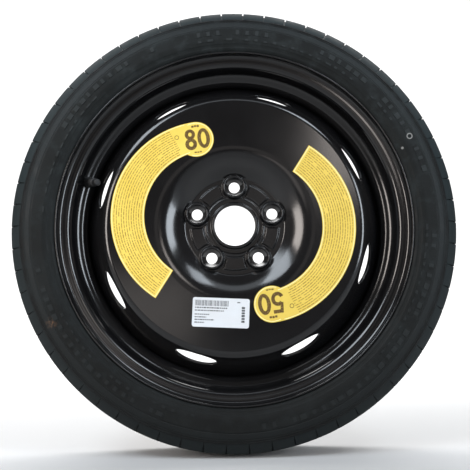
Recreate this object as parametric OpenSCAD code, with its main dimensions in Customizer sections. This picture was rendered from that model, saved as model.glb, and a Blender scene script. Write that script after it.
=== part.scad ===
// Temporary spare wheel: a narrow tyre on a welded steel wheel, with its valve and labels.
// The axle lies along Y, the outboard side faces -Y and Z is up. Lengths are in millimetres.
// Every profile is drawn as [radius, height], where the height grows towards the outboard side.

/* [Tyre] */
// Outside diameter at the middle of the tread
tyre_od = 632; // [622:1:642]
// Width over the sidewalls
section_w = 126; // [122:1:132]
// Width of the tread between its shoulder corners
tread_w = 92; // [88:1:96]
// Fall of the tread from its middle to its shoulder corners
crown_drop = 5.6; // [4:0.1:8]
// Thickness of rubber at the middle of the tread
tread_t = 10.5; // [9:0.1:13]
// Thickness of the sidewall where the tyre is widest
sidewall_t = 6; // [5:0.1:8]
// Place of the widest point, as a share of the sidewall's height
wide_share = 0.482; // [0.45:0.002:0.52]

/* [Tread pattern] */
// Depth of the grooves that run round the tread
groove_depth = 4.5; // [2:0.1:6]
// Width of the grooves that run round the tread
groove_w = 6; // [4:0.1:9]
// Spacing of the grooves that run round the tread
groove_pitch = 21; // [18:0.5:24]
// Number of shoulder slots on each side
slot_count = 62; // [48:1:70]
// Width of a shoulder slot
slot_w = 3; // [2:0.1:4]
// Depth of a shoulder slot
slot_depth = 3.6; // [2:0.1:4.5]
// Reach of a shoulder slot across the tread, from the shoulder corner
slot_reach = 16; // [12:0.5:18]

/* [Rim] */
// Diameter of the bead seats at the flanges
seat_d = 462; // [458:0.5:466]
// Width between the inner faces of the flanges
rim_w = 88.9; // [85:0.1:92]
// Height of the flanges above the bead seats
flange_h = 17.3; // [16:0.1:18.5]
// Outside radius of the rolled flange
flange_bend = 9.5; // [8.5:0.1:10.5]
// Reach of the flange lip beyond the flange's inner face
lip_w = 12.5; // [11.5:0.1:14]
// Thickness of the rim's sheet
rim_t = 2.5; // [2:0.1:3]
// Width of a bead seat, from the flange to the hump
seat_w = 17; // [16:0.1:18]
// Slope of the bead seats, in degrees
seat_slope = 5; // [3:0.5:6]
// Height of the safety hump above the bead seat
hump_h = 1; // [0.5:0.1:1.5]
// Depth of the well below the bead seats
well_depth = 17.3; // [16:0.1:19]
// Width of the well's floor
well_w = 22; // [20:0.5:24]

/* [Disc] */
// Distance of the hub's mounting face from the middle of the rim
offset = 25.5; // [23:0.5:28]
// Thickness of the disc's sheet
disc_t = 4; // [3.5:0.1:4.5]
// Distance of the outboard face from the middle of the rim
face_h = 50; // [48:0.5:52]
// Radius at which the hub recess starts to rise
recess_r = 70; // [68:0.5:72]
// Radius of the crown, where the recess meets the face
crown_line_r = 98; // [96:0.5:100]
// Radius at which the face meets the steep outer wall
shoulder_r = 182.5; // [181:0.5:185]
// Height at which the outer wall meets the welding flange
wall_foot = 4.2; // [2:0.1:8]
// Reach of the welding flange past the middle of the rim
flange_reach = 9; // [6:0.5:12]

/* [Hub] */
// Diameter of the centre bore
bore_d = 57.1; // [54:0.1:60]
// Height of the bore's collar above the mounting face
collar_h = 11.5; // [10.5:0.5:13]
// Number of bolt holes
bolt_count = 5; // [4:1:5]
// Diameter of the bolt circle
bolt_circle_d = 112; // [110:1:114]
// Diameter of a bolt hole
bolt_hole_d = 15.6; // [14:0.1:16.5]
// Diameter of a bolt's conical seat at its mouth
bolt_seat_d = 26.4; // [24:0.1:28]
// Angle of a bolt's conical seat
bolt_seat_angle = 60; // [56:1:64]
// Height of the bolt bosses above the mounting face
boss_h = 11.1; // [10:0.1:12.5]
// Diameter of a bolt boss at its top
boss_d = 31; // [30:0.5:33]

/* [Vents] */
// Number of vents in the outer wall
vent_count = 8; // [6:1:10]
// Angle of the first vent from the horizontal
vent_angle = 27.9; // [0:0.1:45]
// Length of a vent along the wall
vent_l = 60; // [50:1:66]
// Width of a vent across the wall
vent_w = 24; // [18:1:26]

/* [Weld seams] */
// Number of weld seams
seam_count = 4; // [3:1:6]
// Angle that one seam covers
seam_angle = 62; // [30:1:80]
// Leg length of a weld seam
seam_leg = 3.5; // [2:0.1:4.5]

/* [Valve] */
// Angle of the valve from the horizontal
valve_angle = 162; // [155:1:170]
// Diameter of the valve hole in the rim
valve_hole_d = 11.3; // [11:0.1:12]
// Diameter of the valve's rubber body along its stem
valve_body_d = 12.4; // [12:0.1:13]
// Length of the rubber body above the rim
valve_body_l = 21; // [19:0.5:23]
// Length of the brass stem above the rubber body
stem_tip_l = 7.5; // [7:0.1:9]
// Diameter of the thread for the cap
cap_thread_d = 7.7; // [7.3:0.1:8]
// Outside diameter of the cap
cap_d = 10; // [9.6:0.1:11]
// Bore of the stem round the valve core
core_bore_d = 5.2; // [5:0.1:5.4]
// Travel of the valve pin when it is pressed
pin_travel = 1.2; // [0.8:0.1:1.4]
// Clearance round the valve in any wall that comes near it
valve_clear = 2.5; // [2:0.1:4]

/* [Labels] */
// Thickness of a label
label_t = 0.3; // [0.2:0.05:0.5]
// Outer radius of a speed label's band
band_outer_r = 135.2; // [130:0.1:138]
// Width of a speed label's band where it is widest
band_w = 46.6; // [42:0.1:48]
// Distance by which the band narrows towards its ends
band_taper = 4.2; // [2:0.1:6]
// Radius of a speed label's round head
head_r = 25.1; // [23:0.1:27]
// Width of the parts label
parts_label_w = 78; // [70:1:84]
// Height of the parts label
parts_label_h = 40; // [36:1:42]
// Tilt of the parts label, in degrees
parts_label_tilt = -2.9; // [-6:0.1:6]

/* [Hidden] */
$fn = 96;

// Gap between pieces that are pressed, bonded or welded together
fit = 0.05;
// Radial gap round a piece that slides in another
running = 0.06;
// Largest turn between two points of a rounded bend, in degrees
bend_step = 11;

// Rim levels
seat_r = seat_d / 2;
half_rim = rim_w / 2;
flange_r = seat_r + flange_h;
well_r = seat_r - well_depth;
hump_line = half_rim - seat_w;
hump_w = 4;
heel_bend = 6.5;
well_bend = 5;

// Tyre levels
tyre_r = tyre_od / 2;
half_tread = tread_w / 2;
half_section = section_w / 2;
wall_h = tyre_r - seat_r;
wide_r = seat_r + wide_share * wall_h;
crown_bend = (pow(half_tread, 2) + pow(crown_drop, 2)) / (2 * crown_drop);
groove_count = 3;

// Disc levels, measured on the outboard side of the sheet
hub_h = offset + disc_t;
collar_r = bore_d / 2 + disc_t;
boss_top = offset + boss_h;
disc_r = well_r - rim_t - fit;
wall_lean = atan((disc_r - shoulder_r) / (face_h - wall_foot));

// Folds of the disc
collar_fold = 2.5;
recess_fold = 5;
crown_fold = 16;
shoulder_fold = 10;
flange_fold = 8;

// Valve levels along its own axis, from the rim's surface
slope_run = [hump_r(1) - well_r, hump_line - hump_w - well_w / 2];
valve_lean = atan2(slope_run[1], slope_run[0]);
valve_foot = [well_r, well_w / 2] + slope_run / 2 + rim_t * [-sin(valve_lean), cos(valve_lean)];
stem_top = valve_body_l + stem_tip_l;
stem_foot = -rim_t - 7.5;
stem_r = 2.9;
stem_step = 14;
core_foot = 13;
core_r = core_bore_d / 2 - running;
neck_r = 1.9;
pin_r = 0.45;
collar_z = 21;
spring_r = 1.12;
wire_r = 0.15;

// Labels, seen from the outboard side, from the wheel's centre
labels_x = -2;
labels_z = 5.1;
band_x = -35.4;
band_z = 7.6;
band_start = 98.4;
band_end = 237.5;
parts_label_x = -20.9;
parts_label_z = -122.3;
parts_label_corner = 3;

function unit(v) = v / norm(v);
function turned(v, a) = [v[0] * cos(a) - v[1] * sin(a), v[0] * sin(a) + v[1] * cos(a)];
function flat(lists) = [for (l = lists) for (p = l) p];
function backwards(l) = [for (i = [len(l) - 1 : -1 : 0]) l[i]];
function mirrored(l) = [for (v = l) [v[0], -v[1], v[2]]];
function seat_at(h) = seat_r - (half_rim - abs(h)) * tan(seat_slope);
function hump_r(share) = seat_at(hump_line) + share * hump_h;

// Points of one bend: [point, left-hand normal] along the arc that rounds the corner b
function bend(a, b, c, r) =
    let (
        u = unit(a - b),
        w = unit(c - b),
        half = acos(max(-1, min(1, u * w))) / 2,
        side = sign((b - a)[0] * (c - b)[1] - (b - a)[1] * (c - b)[0]),
        centre = b + unit(u + w) * r / sin(half),
        first = unit(b + u * r / tan(half) - centre),
        sweep = 180 - 2 * half,
        steps = max(1, ceil(sweep / bend_step))
    )
    [for (k = [0 : steps]) let (d = turned(first, side * sweep * k / steps)) [centre + r * d, -side * d]];

// An open path of [radius, height, bend radius] corners, as [point, left-hand normal] pairs
function rounded(path) =
    let (
        n = len(path),
        p = [for (v = path) [v[0], v[1]]],
        start = unit(p[1] - p[0]),
        end = unit(p[n - 1] - p[n - 2])
    )
    concat(
        [[p[0], [-start[1], start[0]]]],
        flat([for (i = [1 : n - 2]) bend(p[i - 1], p[i], p[i + 1], path[i][2])]),
        [[p[n - 1], [-end[1], end[0]]]]
    );

// Section of a folded sheet: t is positive where the sheet lies to the left of the path
module sheet(path, t) {
    edge = rounded(path);
    near = [for (e = edge) e[0]];
    far = [for (e = edge) e[0] + t * e[1]];
    polygon(concat(near, backwards(far)));
}

// Points on a cubic curve, from the share s0 to the share s1 of its length
function curve_at(a, b, c, d, s) =
    pow(1 - s, 3) * a + 3 * pow(1 - s, 2) * s * b + 3 * (1 - s) * s * s * c + pow(s, 3) * d;
function curve(a, b, c, d, s0, s1, n) = [for (k = [0 : n]) curve_at(a, b, c, d, s0 + (s1 - s0) * k / n)];

// Stands the wheel up: its axle goes from the profile's height axis to Y
module upright() {
    rotate([90, 0, 0]) children();
}

// Rim: one rolled sheet from lip to lip

rim_half = [
    [well_r, well_w / 2, well_bend],
    [hump_r(1), hump_line - hump_w, 4],
    [hump_r(0), hump_line, 4],
    [seat_r, half_rim, heel_bend],
    [flange_r, half_rim, flange_bend],
    [flange_r, half_rim + lip_w, 0]
];
rim_path = concat(backwards(mirrored(rim_half)), rim_half);

module at_valve() {
    rotate([0, 0, valve_angle])
        translate([valve_foot[0], 0, valve_foot[1]])
            rotate([0, -valve_lean, 0])
                children();
}

module rim() {
    color([0.05, 0.05, 0.055])
        upright()
            difference() {
                rotate_extrude() sheet(rim_path, rim_t);
                at_valve() translate([0, 0, -2 * rim_t]) cylinder(d = valve_hole_d, h = 4 * rim_t);
            }
}

// Tyre: one hollow moulding with two beads

function crown_at(h, r) = r - crown_bend + sqrt(pow(crown_bend, 2) - h * h);

shoulder = [crown_at(half_tread, tyre_r), half_tread];
widest = [wide_r, half_section];
lift_off = [flange_r + fit, half_rim + flange_bend + 1];
shoulder_pull = shoulder + wall_h * [-0.099, 0.094];
widest_pull = [wide_r + 0.45 * (shoulder[0] - wide_r), half_section];

// Outboard half of the outer skin, from the middle of the tread to the bead's toe
crown_points = [for (k = [0 : 5]) let (h = k * half_tread / 6) [crown_at(h, tyre_r), h]];
wall_points = concat(
    curve(shoulder, shoulder_pull, widest_pull, widest, 0.09, 1, 10),
    curve(widest, widest - wall_h * [0.106, 0], lift_off + wall_h * [0.053, 0.059], lift_off, 0.12, 1, 6)
);
bead_w = seat_w - 1.5;
skin_half = concat(
    crown_points,
    [for (e = bend(crown_points[5], shoulder, wall_points[0], 3)) e[0]],
    wall_points,
    [for (e = bend(lift_off, [flange_r + fit, half_rim - fit], [seat_r, half_rim - fit], flange_bend + fit)) e[0]],
    [for (e = bend([flange_r, half_rim - fit], [seat_r + fit, half_rim - fit],
        [seat_at(half_rim - bead_w) + fit, half_rim - bead_w], heel_bend - fit)) e[0]],
    [[seat_at(half_rim - bead_w) + fit, half_rim - bead_w]]
);

// Outboard half of the inner skin, from the bead's toe to the middle of the tread
inner_r = tyre_r - tread_t;
inner_shoulder = [crown_at(half_tread - 8, inner_r), half_tread - 8];
inner_widest = [wide_r, half_section - sidewall_t];
bead_top = [seat_r + 9, half_rim - bead_w + 6];
inner_pull = [0.165 * wall_h, 0];
inner_shoulder_pull = inner_shoulder + wall_h * [-0.082, 0.094];
hollow_half = concat(
    [[seat_at(half_rim - bead_w) + 4, half_rim - bead_w]],
    curve(bead_top, bead_top + wall_h * [0.082, 0.082], inner_widest - inner_pull, inner_widest, 0, 1, 7),
    curve(inner_widest, inner_widest + inner_pull, inner_shoulder_pull, inner_shoulder, 0.14, 1, 7),
    [for (k = [3 : -1 : 0]) let (h = k * (half_tread - 8) / 4) [crown_at(h, inner_r), h]]
);
tyre_half = concat(skin_half, hollow_half);
other_half = [for (i = [len(tyre_half) - 2 : -1 : 1]) [tyre_half[i][0], -tyre_half[i][1]]];

module tyre_section() {
    difference() {
        polygon(concat(tyre_half, other_half));
        for (k = [0 : groove_count - 1])
            let (h = (k - (groove_count - 1) / 2) * groove_pitch)
                translate([crown_at(h, tyre_r) - groove_depth, h - groove_w / 2])
                    square([2 * groove_depth, groove_w]);
    }
}

// One slot from the tread over the shoulder, on the outboard side
slot_end = curve_at(shoulder, shoulder_pull, widest_pull, widest, 0.45);
slot_start = [crown_at(half_tread - slot_reach, tyre_r) - slot_depth, half_tread - slot_reach];
slot_bend = shoulder - slot_depth * [1.05, 0.67];
slot_clear = 5;

module slot() {
    translate([0, slot_w / 2, 0])
        rotate([90, 0, 0])
            linear_extrude(slot_w)
                polygon([
                    slot_start, slot_bend, slot_end,
                    [slot_end[0], half_section + slot_clear],
                    [tyre_r + slot_clear, half_section + slot_clear],
                    [tyre_r + slot_clear, slot_start[1]]
                ]);
}

module slots() {
    for (k = [0 : slot_count - 1])
        rotate([0, 0, k * 360 / slot_count]) slot();
}

module tyre() {
    color([0.13, 0.14, 0.14])
        upright()
            difference() {
                rotate_extrude() tyre_section();
                slots();
                rotate([0, 0, 180 / slot_count]) mirror([0, 0, 1]) slots();
            }
}

// Disc: one pressed sheet from the bore's collar to the welding flange

disc_path = [
    [collar_r, offset + collar_h, 0],
    [collar_r, hub_h, collar_fold],
    [recess_r, hub_h, recess_fold],
    [crown_line_r, face_h, crown_fold],
    [shoulder_r, face_h, shoulder_fold],
    [disc_r, wall_foot, flange_fold],
    [disc_r, -flange_reach, 0]
];

module at_bolts() {
    for (k = [0 : bolt_count - 1])
        rotate([0, 0, 90 + k * 360 / bolt_count])
            translate([bolt_circle_d / 2, 0, 0])
                children();
}

// Slope of a boss's side, as width lost up to its top
boss_draft = 3;
module boss() {
    translate([0, 0, offset + disc_t / 2])
        cylinder(r1 = boss_d / 2 + boss_draft, r2 = boss_d / 2, h = boss_h - disc_t / 2);
}

// Bolt hole with its conical seat, cut from above
module bolt_seat() {
    seat_depth = (bolt_seat_d - bolt_hole_d) / 2 / tan(bolt_seat_angle / 2);
    translate([0, 0, offset - 1]) cylinder(d = bolt_hole_d, h = boss_h + 2);
    translate([0, 0, boss_top - seat_depth])
        cylinder(d1 = bolt_hole_d, d2 = bolt_seat_d, h = seat_depth);
    translate([0, 0, boss_top - 0.01]) cylinder(d = bolt_seat_d, h = 2);
}

// Hollow behind a boss, where the sheet was pushed up round the seat
module boss_hollow() {
    inner = bolt_hole_d / 2 + disc_t;
    outer = boss_d / 2 + 0.6;
    rotate_extrude()
        polygon([
            [inner - 0.2, offset - 1], [outer + 0.2, offset - 1],
            [outer - 1, offset + boss_h / 2], [inner + 1.2, offset + boss_h / 2]
        ]);
}

// Raised pads between the bosses, and the pockets that they leave behind
pad_in = collar_r + 13.5;
pad_out = recess_r - 8.5;
pad_rise = 2;
pad_angle = 360 / bolt_count - 2 * asin((boss_d / 2 + boss_draft) / (bolt_circle_d / 2)) - 4;

module at_pads() {
    for (k = [0 : bolt_count - 1])
        rotate([0, 0, 90 + (k + 0.5) * 360 / bolt_count - pad_angle / 2])
            children();
}

module pad() {
    rotate_extrude(angle = pad_angle)
        polygon([
            [pad_in - pad_rise, hub_h - 1], [pad_out + pad_rise, hub_h - 1],
            [pad_out + pad_rise, hub_h], [pad_out, hub_h + pad_rise],
            [pad_in, hub_h + pad_rise], [pad_in - pad_rise, hub_h]
        ]);
}

module pocket() {
    edge = 4;
    rotate([0, 0, edge])
        rotate_extrude(angle = pad_angle - 2 * edge)
            polygon([
                [pad_in, offset - 1], [pad_out, offset - 1],
                [pad_out - 1, offset + pad_rise], [pad_in + 1, offset + pad_rise]
            ]);
}

// Vents: ovals cut square to the leaning outer wall
vent_mid = 0.34;
vent_depth = 14;
module vent() {
    foot = [shoulder_r, face_h] + vent_mid * [disc_r - shoulder_r, wall_foot - face_h];
    translate([foot[0], 0, foot[1]])
        rotate([0, 90 - wall_lean, 0])
            translate([0, 0, -vent_depth])
                linear_extrude(2 * vent_depth)
                    polygon([for (a = [0 : 12 : 348]) [vent_w / 2 * cos(a), vent_l / 2 * sin(a)]]);
}

// Room for the valve and the path of its cap, which bites only into a wall that comes too near
module valve_room() {
    at_valve() cylinder(r = hole_r + valve_flange + valve_clear, h = cap_top + valve_body_l);
}

module disc() {
    color([0.04, 0.04, 0.045])
        upright()
            difference() {
                union() {
                    rotate_extrude() sheet(disc_path, -disc_t);
                    at_bolts() boss();
                    at_pads() pad();
                }
                at_bolts() bolt_seat();
                at_bolts() boss_hollow();
                at_pads() pocket();
                for (k = [0 : vent_count - 1])
                    rotate([0, 0, vent_angle + k * 360 / vent_count]) vent();
                valve_room();
            }
}

// Weld seams in the corner between the disc's flange and the rim's well
module weld_seams() {
    outer = disc_r;
    top = -flange_reach;
    color([0.09, 0.09, 0.1])
        upright()
            for (k = [0 : seam_count - 1])
                rotate([0, 0, 45 + k * 360 / seam_count - seam_angle / 2])
                    rotate_extrude(angle = seam_angle)
                        polygon([
                            [outer, top], [outer - seam_leg, top],
                            [outer - seam_leg * 0.85, top - seam_leg * 0.5],
                            [outer - seam_leg * 0.5, top - seam_leg * 0.85],
                            [outer, top - seam_leg]
                        ]);
}

// Valve: rubber body snapped into the rim, round a brass stem that holds the core

body_r = valve_body_d / 2;
hole_r = valve_hole_d / 2;
valve_flange = 2.2;

module valve_rubber() {
    bore = stem_r + fit;
    wide_bore = cap_thread_d / 2 + fit;
    color([0.06, 0.06, 0.06])
        upright() at_valve()
            rotate_extrude()
                polygon([
                    [bore, stem_foot], [hole_r, stem_foot], [hole_r + valve_flange, -rim_t - 3],
                    [hole_r + valve_flange, -rim_t - fit], [hole_r - fit, -rim_t - fit],
                    [hole_r - fit, fit], [hole_r + valve_flange, fit], [hole_r + 2, 2.4],
                    [body_r + 0.6, 7], [body_r, 10], [body_r, valve_body_l - 1.5],
                    [body_r - 1, valve_body_l], [wide_bore, valve_body_l],
                    [wide_bore, stem_step], [bore, stem_step - 1]
                ]);
}

module valve_stem() {
    tip = cap_thread_d / 2;
    air_r = 1.4;
    chamber_foot = core_foot - 4;
    color([0.72, 0.58, 0.28])
        upright() at_valve()
            rotate_extrude()
                polygon([
                    [air_r, stem_foot], [stem_r, stem_foot], [stem_r, stem_step - 1],
                    [tip, stem_step], [tip, stem_top - 0.5], [tip - 0.5, stem_top],
                    [core_bore_d / 2, stem_top], [core_bore_d / 2, chamber_foot + 1], [air_r, chamber_foot]
                ]);
}

// Core: a threaded plug over a thin barrel that guides the pin and houses its spring
plug_foot = stem_top - 6.5;
barrel_r = 1.45;
module valve_core() {
    guide = pin_r + running;
    color([0.78, 0.66, 0.34])
        upright() at_valve()
            rotate_extrude()
                polygon([
                    [guide, core_foot], [neck_r, core_foot], [neck_r, plug_foot], [core_r, plug_foot + 0.6],
                    [core_r, stem_top - 1.2], [barrel_r, stem_top - 1.2],
                    [barrel_r, core_foot + 1.2], [guide, core_foot + 1.2]
                ]);
}

module core_gasket() {
    color([0.55, 0.12, 0.1])
        upright() at_valve()
            translate([0, 0, core_foot + 2.5])
                difference() {
                    cylinder(r = core_bore_d / 2 - fit, h = 3.2);
                    translate([0, 0, -1]) cylinder(r = neck_r + fit, h = 6);
                }
}

seal_h = 0.9;
module core_pin() {
    cup_top = core_foot - seal_h - fit;
    color([0.8, 0.8, 0.78])
        upright() at_valve()
            rotate_extrude()
                polygon([
                    [0, cup_top - 1.6], [1.5, cup_top - 1.6], [1.5, cup_top], [pin_r, cup_top],
                    [pin_r, collar_z], [barrel_r - running, collar_z], [barrel_r - running, collar_z + 0.8],
                    [pin_r, collar_z + 0.8], [pin_r, stem_top - 0.9], [0.8, stem_top - 0.9],
                    [0.8, stem_top - 0.5], [0, stem_top - 0.5]
                ]);
}

module pin_seal() {
    color([0.1, 0.1, 0.1])
        upright() at_valve()
            translate([0, 0, core_foot - seal_h])
                difference() {
                    cylinder(r = neck_r - 0.1, h = seal_h - fit);
                    translate([0, 0, -1]) cylinder(r = pin_r + fit / 2, h = 3);
                }
}

// Coil spring round the pin, between the core's foot and the pin's collar
spring_foot = core_foot + 1.2 + wire_r + fit;
spring_head = collar_z - wire_r - fit;
spring_turns = 6;
turn_steps = 18;
wire_sides = 6;

function coil_ring(i) =
    let (
        a = 360 * i / turn_steps,
        z = spring_foot + (spring_head - spring_foot) * i / (spring_turns * turn_steps)
    )
    [for (s = [0 : wire_sides - 1])
        let (b = 360 * s / wire_sides, r = spring_r + wire_r * cos(b))
            [r * cos(a), r * sin(a), z + wire_r * sin(b)]];

module core_spring() {
    rings = spring_turns * turn_steps;
    points = flat([for (i = [0 : rings]) coil_ring(i)]);
    sides = [for (i = [0 : rings - 1]) for (s = [0 : wire_sides - 1])
        let (n = (s + 1) % wire_sides, a = i * wire_sides, b = a + wire_sides)
            [a + s, b + s, b + n, a + n]];
    ends = [
        [for (s = [0 : wire_sides - 1]) s],
        [for (s = [wire_sides - 1 : -1 : 0]) rings * wire_sides + s]
    ];
    color([0.7, 0.7, 0.72])
        upright() at_valve()
            polyhedron(points, concat(sides, ends), convexity = 6);
}

// Cap: a ribbed cup screwed over the stem, with a seal in its crown
cap_foot = valve_body_l + 0.3;
cap_crown = 1.6;
cap_top = stem_top + 1 + cap_crown + fit;
cap_ribs = 20;
module valve_cap() {
    rib = 0.35;
    color([0.05, 0.05, 0.05])
        upright() at_valve()
            difference() {
                union() {
                    translate([0, 0, cap_foot])
                        linear_extrude(cap_top - cap_foot - 1.5)
                            polygon([for (k = [0 : 2 * cap_ribs - 1])
                                (cap_d / 2 - rib * (k % 2)) * [cos(k * 180 / cap_ribs), sin(k * 180 / cap_ribs)]]);
                    translate([0, 0, cap_top - 1.5])
                        cylinder(r1 = cap_d / 2 - 2 * rib, r2 = cap_d / 2 - 4 * rib, h = 1.5);
                }
                translate([0, 0, cap_foot - 1])
                    cylinder(d = cap_thread_d + 2 * running, h = cap_top - cap_crown - cap_foot + 1);
            }
}

module cap_seal() {
    color([0.1, 0.1, 0.1])
        upright() at_valve()
            translate([0, 0, stem_top + fit])
                difference() {
                    cylinder(d = cap_thread_d - 2 * fit, h = 1 - fit);
                    translate([0, 0, -1]) cylinder(d = 2.4, h = 1.3);
                }
}

// Labels: thin sheets stuck to the disc's flat face

// Area round a point between two directions
module sector(r, a0, a1) {
    steps = 6;
    polygon(concat([[0, 0]], [for (k = [0 : steps]) let (a = a0 + (a1 - a0) * k / steps) r * [cos(a), sin(a)]]));
}

module speed_label_outline() {
    translate([band_x, band_z]) {
        translate((band_outer_r - head_r) * [cos(band_start), sin(band_start)]) circle(r = head_r);
        intersection() {
            difference() {
                circle(r = band_outer_r);
                translate([band_taper, 0]) circle(r = band_outer_r - band_w + band_taper);
            }
            sector(2 * band_outer_r, band_start, band_end);
        }
    }
}

module on_face() {
    upright() translate([0, 0, face_h]) children();
}

module speed_label(turn) {
    color([0.96, 0.83, 0.2])
        on_face()
            translate([labels_x, labels_z])
                rotate([0, 0, turn])
                    linear_extrude(label_t) speed_label_outline();
}

module speed_label_80() {
    speed_label(0);
}

module speed_label_50() {
    speed_label(180);
}

module parts_label() {
    w = parts_label_w / 2 - parts_label_corner;
    h = parts_label_h / 2 - parts_label_corner;
    color([0.93, 0.94, 0.95])
        on_face()
            translate([parts_label_x, parts_label_z])
                rotate([0, 0, parts_label_tilt])
                    linear_extrude(label_t)
                        union() {
                            square([2 * w, parts_label_h], center = true);
                            square([parts_label_w, 2 * h], center = true);
                            for (x = [-w, w]) for (y = [-h, h])
                                translate([x, y]) circle(r = parts_label_corner);
                        }
}

tyre();
rim();
disc();
weld_seams();
valve_rubber();
valve_stem();
valve_core();
core_gasket();
core_pin();
pin_seal();
core_spring();
valve_cap();
cap_seal();
speed_label_80();
speed_label_50();
parts_label();
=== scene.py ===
"""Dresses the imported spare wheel: smooth meshes, printed labels, finishes and a plain studio."""

import math

import bpy
import numpy as np
from bpy.props import FloatProperty, FloatVectorProperty, IntProperty, PointerProperty
from mathutils import Matrix, Vector
from mathutils.geometry import delaunay_2d_cdt


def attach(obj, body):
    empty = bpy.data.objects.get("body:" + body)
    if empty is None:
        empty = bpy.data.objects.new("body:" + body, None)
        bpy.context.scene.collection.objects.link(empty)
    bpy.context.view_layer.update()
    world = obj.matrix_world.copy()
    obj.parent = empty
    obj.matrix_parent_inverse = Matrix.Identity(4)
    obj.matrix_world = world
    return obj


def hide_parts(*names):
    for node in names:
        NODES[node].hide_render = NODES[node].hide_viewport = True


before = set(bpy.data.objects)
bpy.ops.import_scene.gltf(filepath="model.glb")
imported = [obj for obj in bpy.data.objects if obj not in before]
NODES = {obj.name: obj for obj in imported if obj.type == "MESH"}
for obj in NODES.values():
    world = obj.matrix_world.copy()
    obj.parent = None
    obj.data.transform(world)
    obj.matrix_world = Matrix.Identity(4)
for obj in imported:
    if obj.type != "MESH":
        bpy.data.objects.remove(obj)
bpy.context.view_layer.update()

bl_info = {
    "name": "Temporary spare wheel",
    "version": (1, 0, 0),
    "blender": (4, 5, 0),
    "location": "View3D > Sidebar > Spare Wheel",
    "description": "Builds the visible surfaces of a narrow spare wheel around its packed frame",
    "category": "Object",
}

MM = 0.001
TURN = 2 * math.pi
WHEEL = "wheel"
CAP = "cap"
SEAT_TAPER = math.radians(5)  # slope of a bead seat
RING = 360  # columns of the disc's rings
FIRST_RING = math.radians(5.4)  # so that the rings meet the edges of the vents' sectors
RINGS = FIRST_RING + TURN * np.arange(RING) / RING


def length(name, default, description):
    """A length property in metres."""
    return FloatProperty(
        name=name,
        description=description,
        default=default,
        min=0.0,
        precision=4,
        unit="LENGTH",
        subtype="DISTANCE",
    )


def spot(name, default, description):
    """A place along one axis in metres, which may be negative."""
    return FloatProperty(name=name, description=description, default=default, unit="LENGTH")


def angle(name, default, description):
    """An angle property, given in degrees."""
    return FloatProperty(
        name=name, description=description, default=math.radians(default), unit="ROTATION", subtype="ANGLE"
    )


def number(name, default, least, most, description):
    """A number of things."""
    return IntProperty(name=name, description=description, default=default, min=least, max=most)


def tint(name, default, description):
    """A linear colour property."""
    return FloatVectorProperty(
        name=name, description=description, default=default, size=3, min=0.0, max=1.0, subtype="COLOR"
    )


class BuildStep:
    """What every operator does: it runs its build function."""

    def execute(self, context):
        self.build()
        return {"FINISHED"}


class TyreSettings(bpy.types.PropertyGroup):
    """Sizes and colours of the tyre."""

    outside_d: length("Outside diameter", 0.632, "Diameter at the middle of the tread")
    section_w: length("Section width", 0.126, "Width over the sidewalls")
    tread_w: length("Tread width", 0.092, "Width between the shoulder corners")
    crown_drop: length("Crown drop", 0.0056, "Fall of the tread to its shoulder corners")
    wide_rise: length("Widest point", 0.041, "Height of the widest point above the bead seats")
    groove_w: length("Groove width", 0.006, "Width of the grooves round the tread")
    groove_depth: length("Groove depth", 0.0045, "Depth of the grooves round the tread")
    groove_pitch: length("Groove spacing", 0.021, "Spacing of the grooves round the tread")
    slot_count: number("Slots", 62, 20, 90, "Shoulder slots on each side")
    slot_w: length("Slot width", 0.0018, "Width of a shoulder slot")
    slot_depth: length("Slot depth", 0.0022, "Depth of a shoulder slot")
    slot_reach: length("Slot reach", 0.016, "Reach of a slot from the shoulder corner across the tread")
    rubber: tint("Rubber", (0.0052, 0.0068, 0.0070), "Colour of the sidewall rubber")
    tread_rubber: tint("Tread rubber", (0.0190, 0.0285, 0.0315), "Colour of the tread and shoulder rubber")
    scuff: tint("Scuff", (0.15, 0.085, 0.05), "Colour of the rusty scuff on the sidewall")
    paint_mark: tint("Paint mark", (0.34, 0.34, 0.33), "Colour of the small marks on the sidewall")


class RimSettings(bpy.types.PropertyGroup):
    """Sizes of the rolled rim."""

    seat_d: length("Bead seat diameter", 0.462, "Diameter of the bead seats at the flanges")
    width: length("Rim width", 0.0889, "Width between the flanges")
    flange_h: length("Flange height", 0.0173, "Height of the flanges above the seats")
    flange_bend: length("Flange bend", 0.0095, "Outside radius of the rolled flange")
    lip_w: length("Lip reach", 0.0125, "Reach of the lip beyond the flange's inner face")
    sheet: length("Sheet", 0.0025, "Thickness of the rim's sheet")
    seat_w: length("Seat width", 0.017, "Width of a bead seat")
    hump_h: length("Hump height", 0.001, "Height of the safety hump")
    well_depth: length("Well depth", 0.0173, "Depth of the well below the seats")
    well_w: length("Well width", 0.022, "Width of the well's floor")


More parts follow.
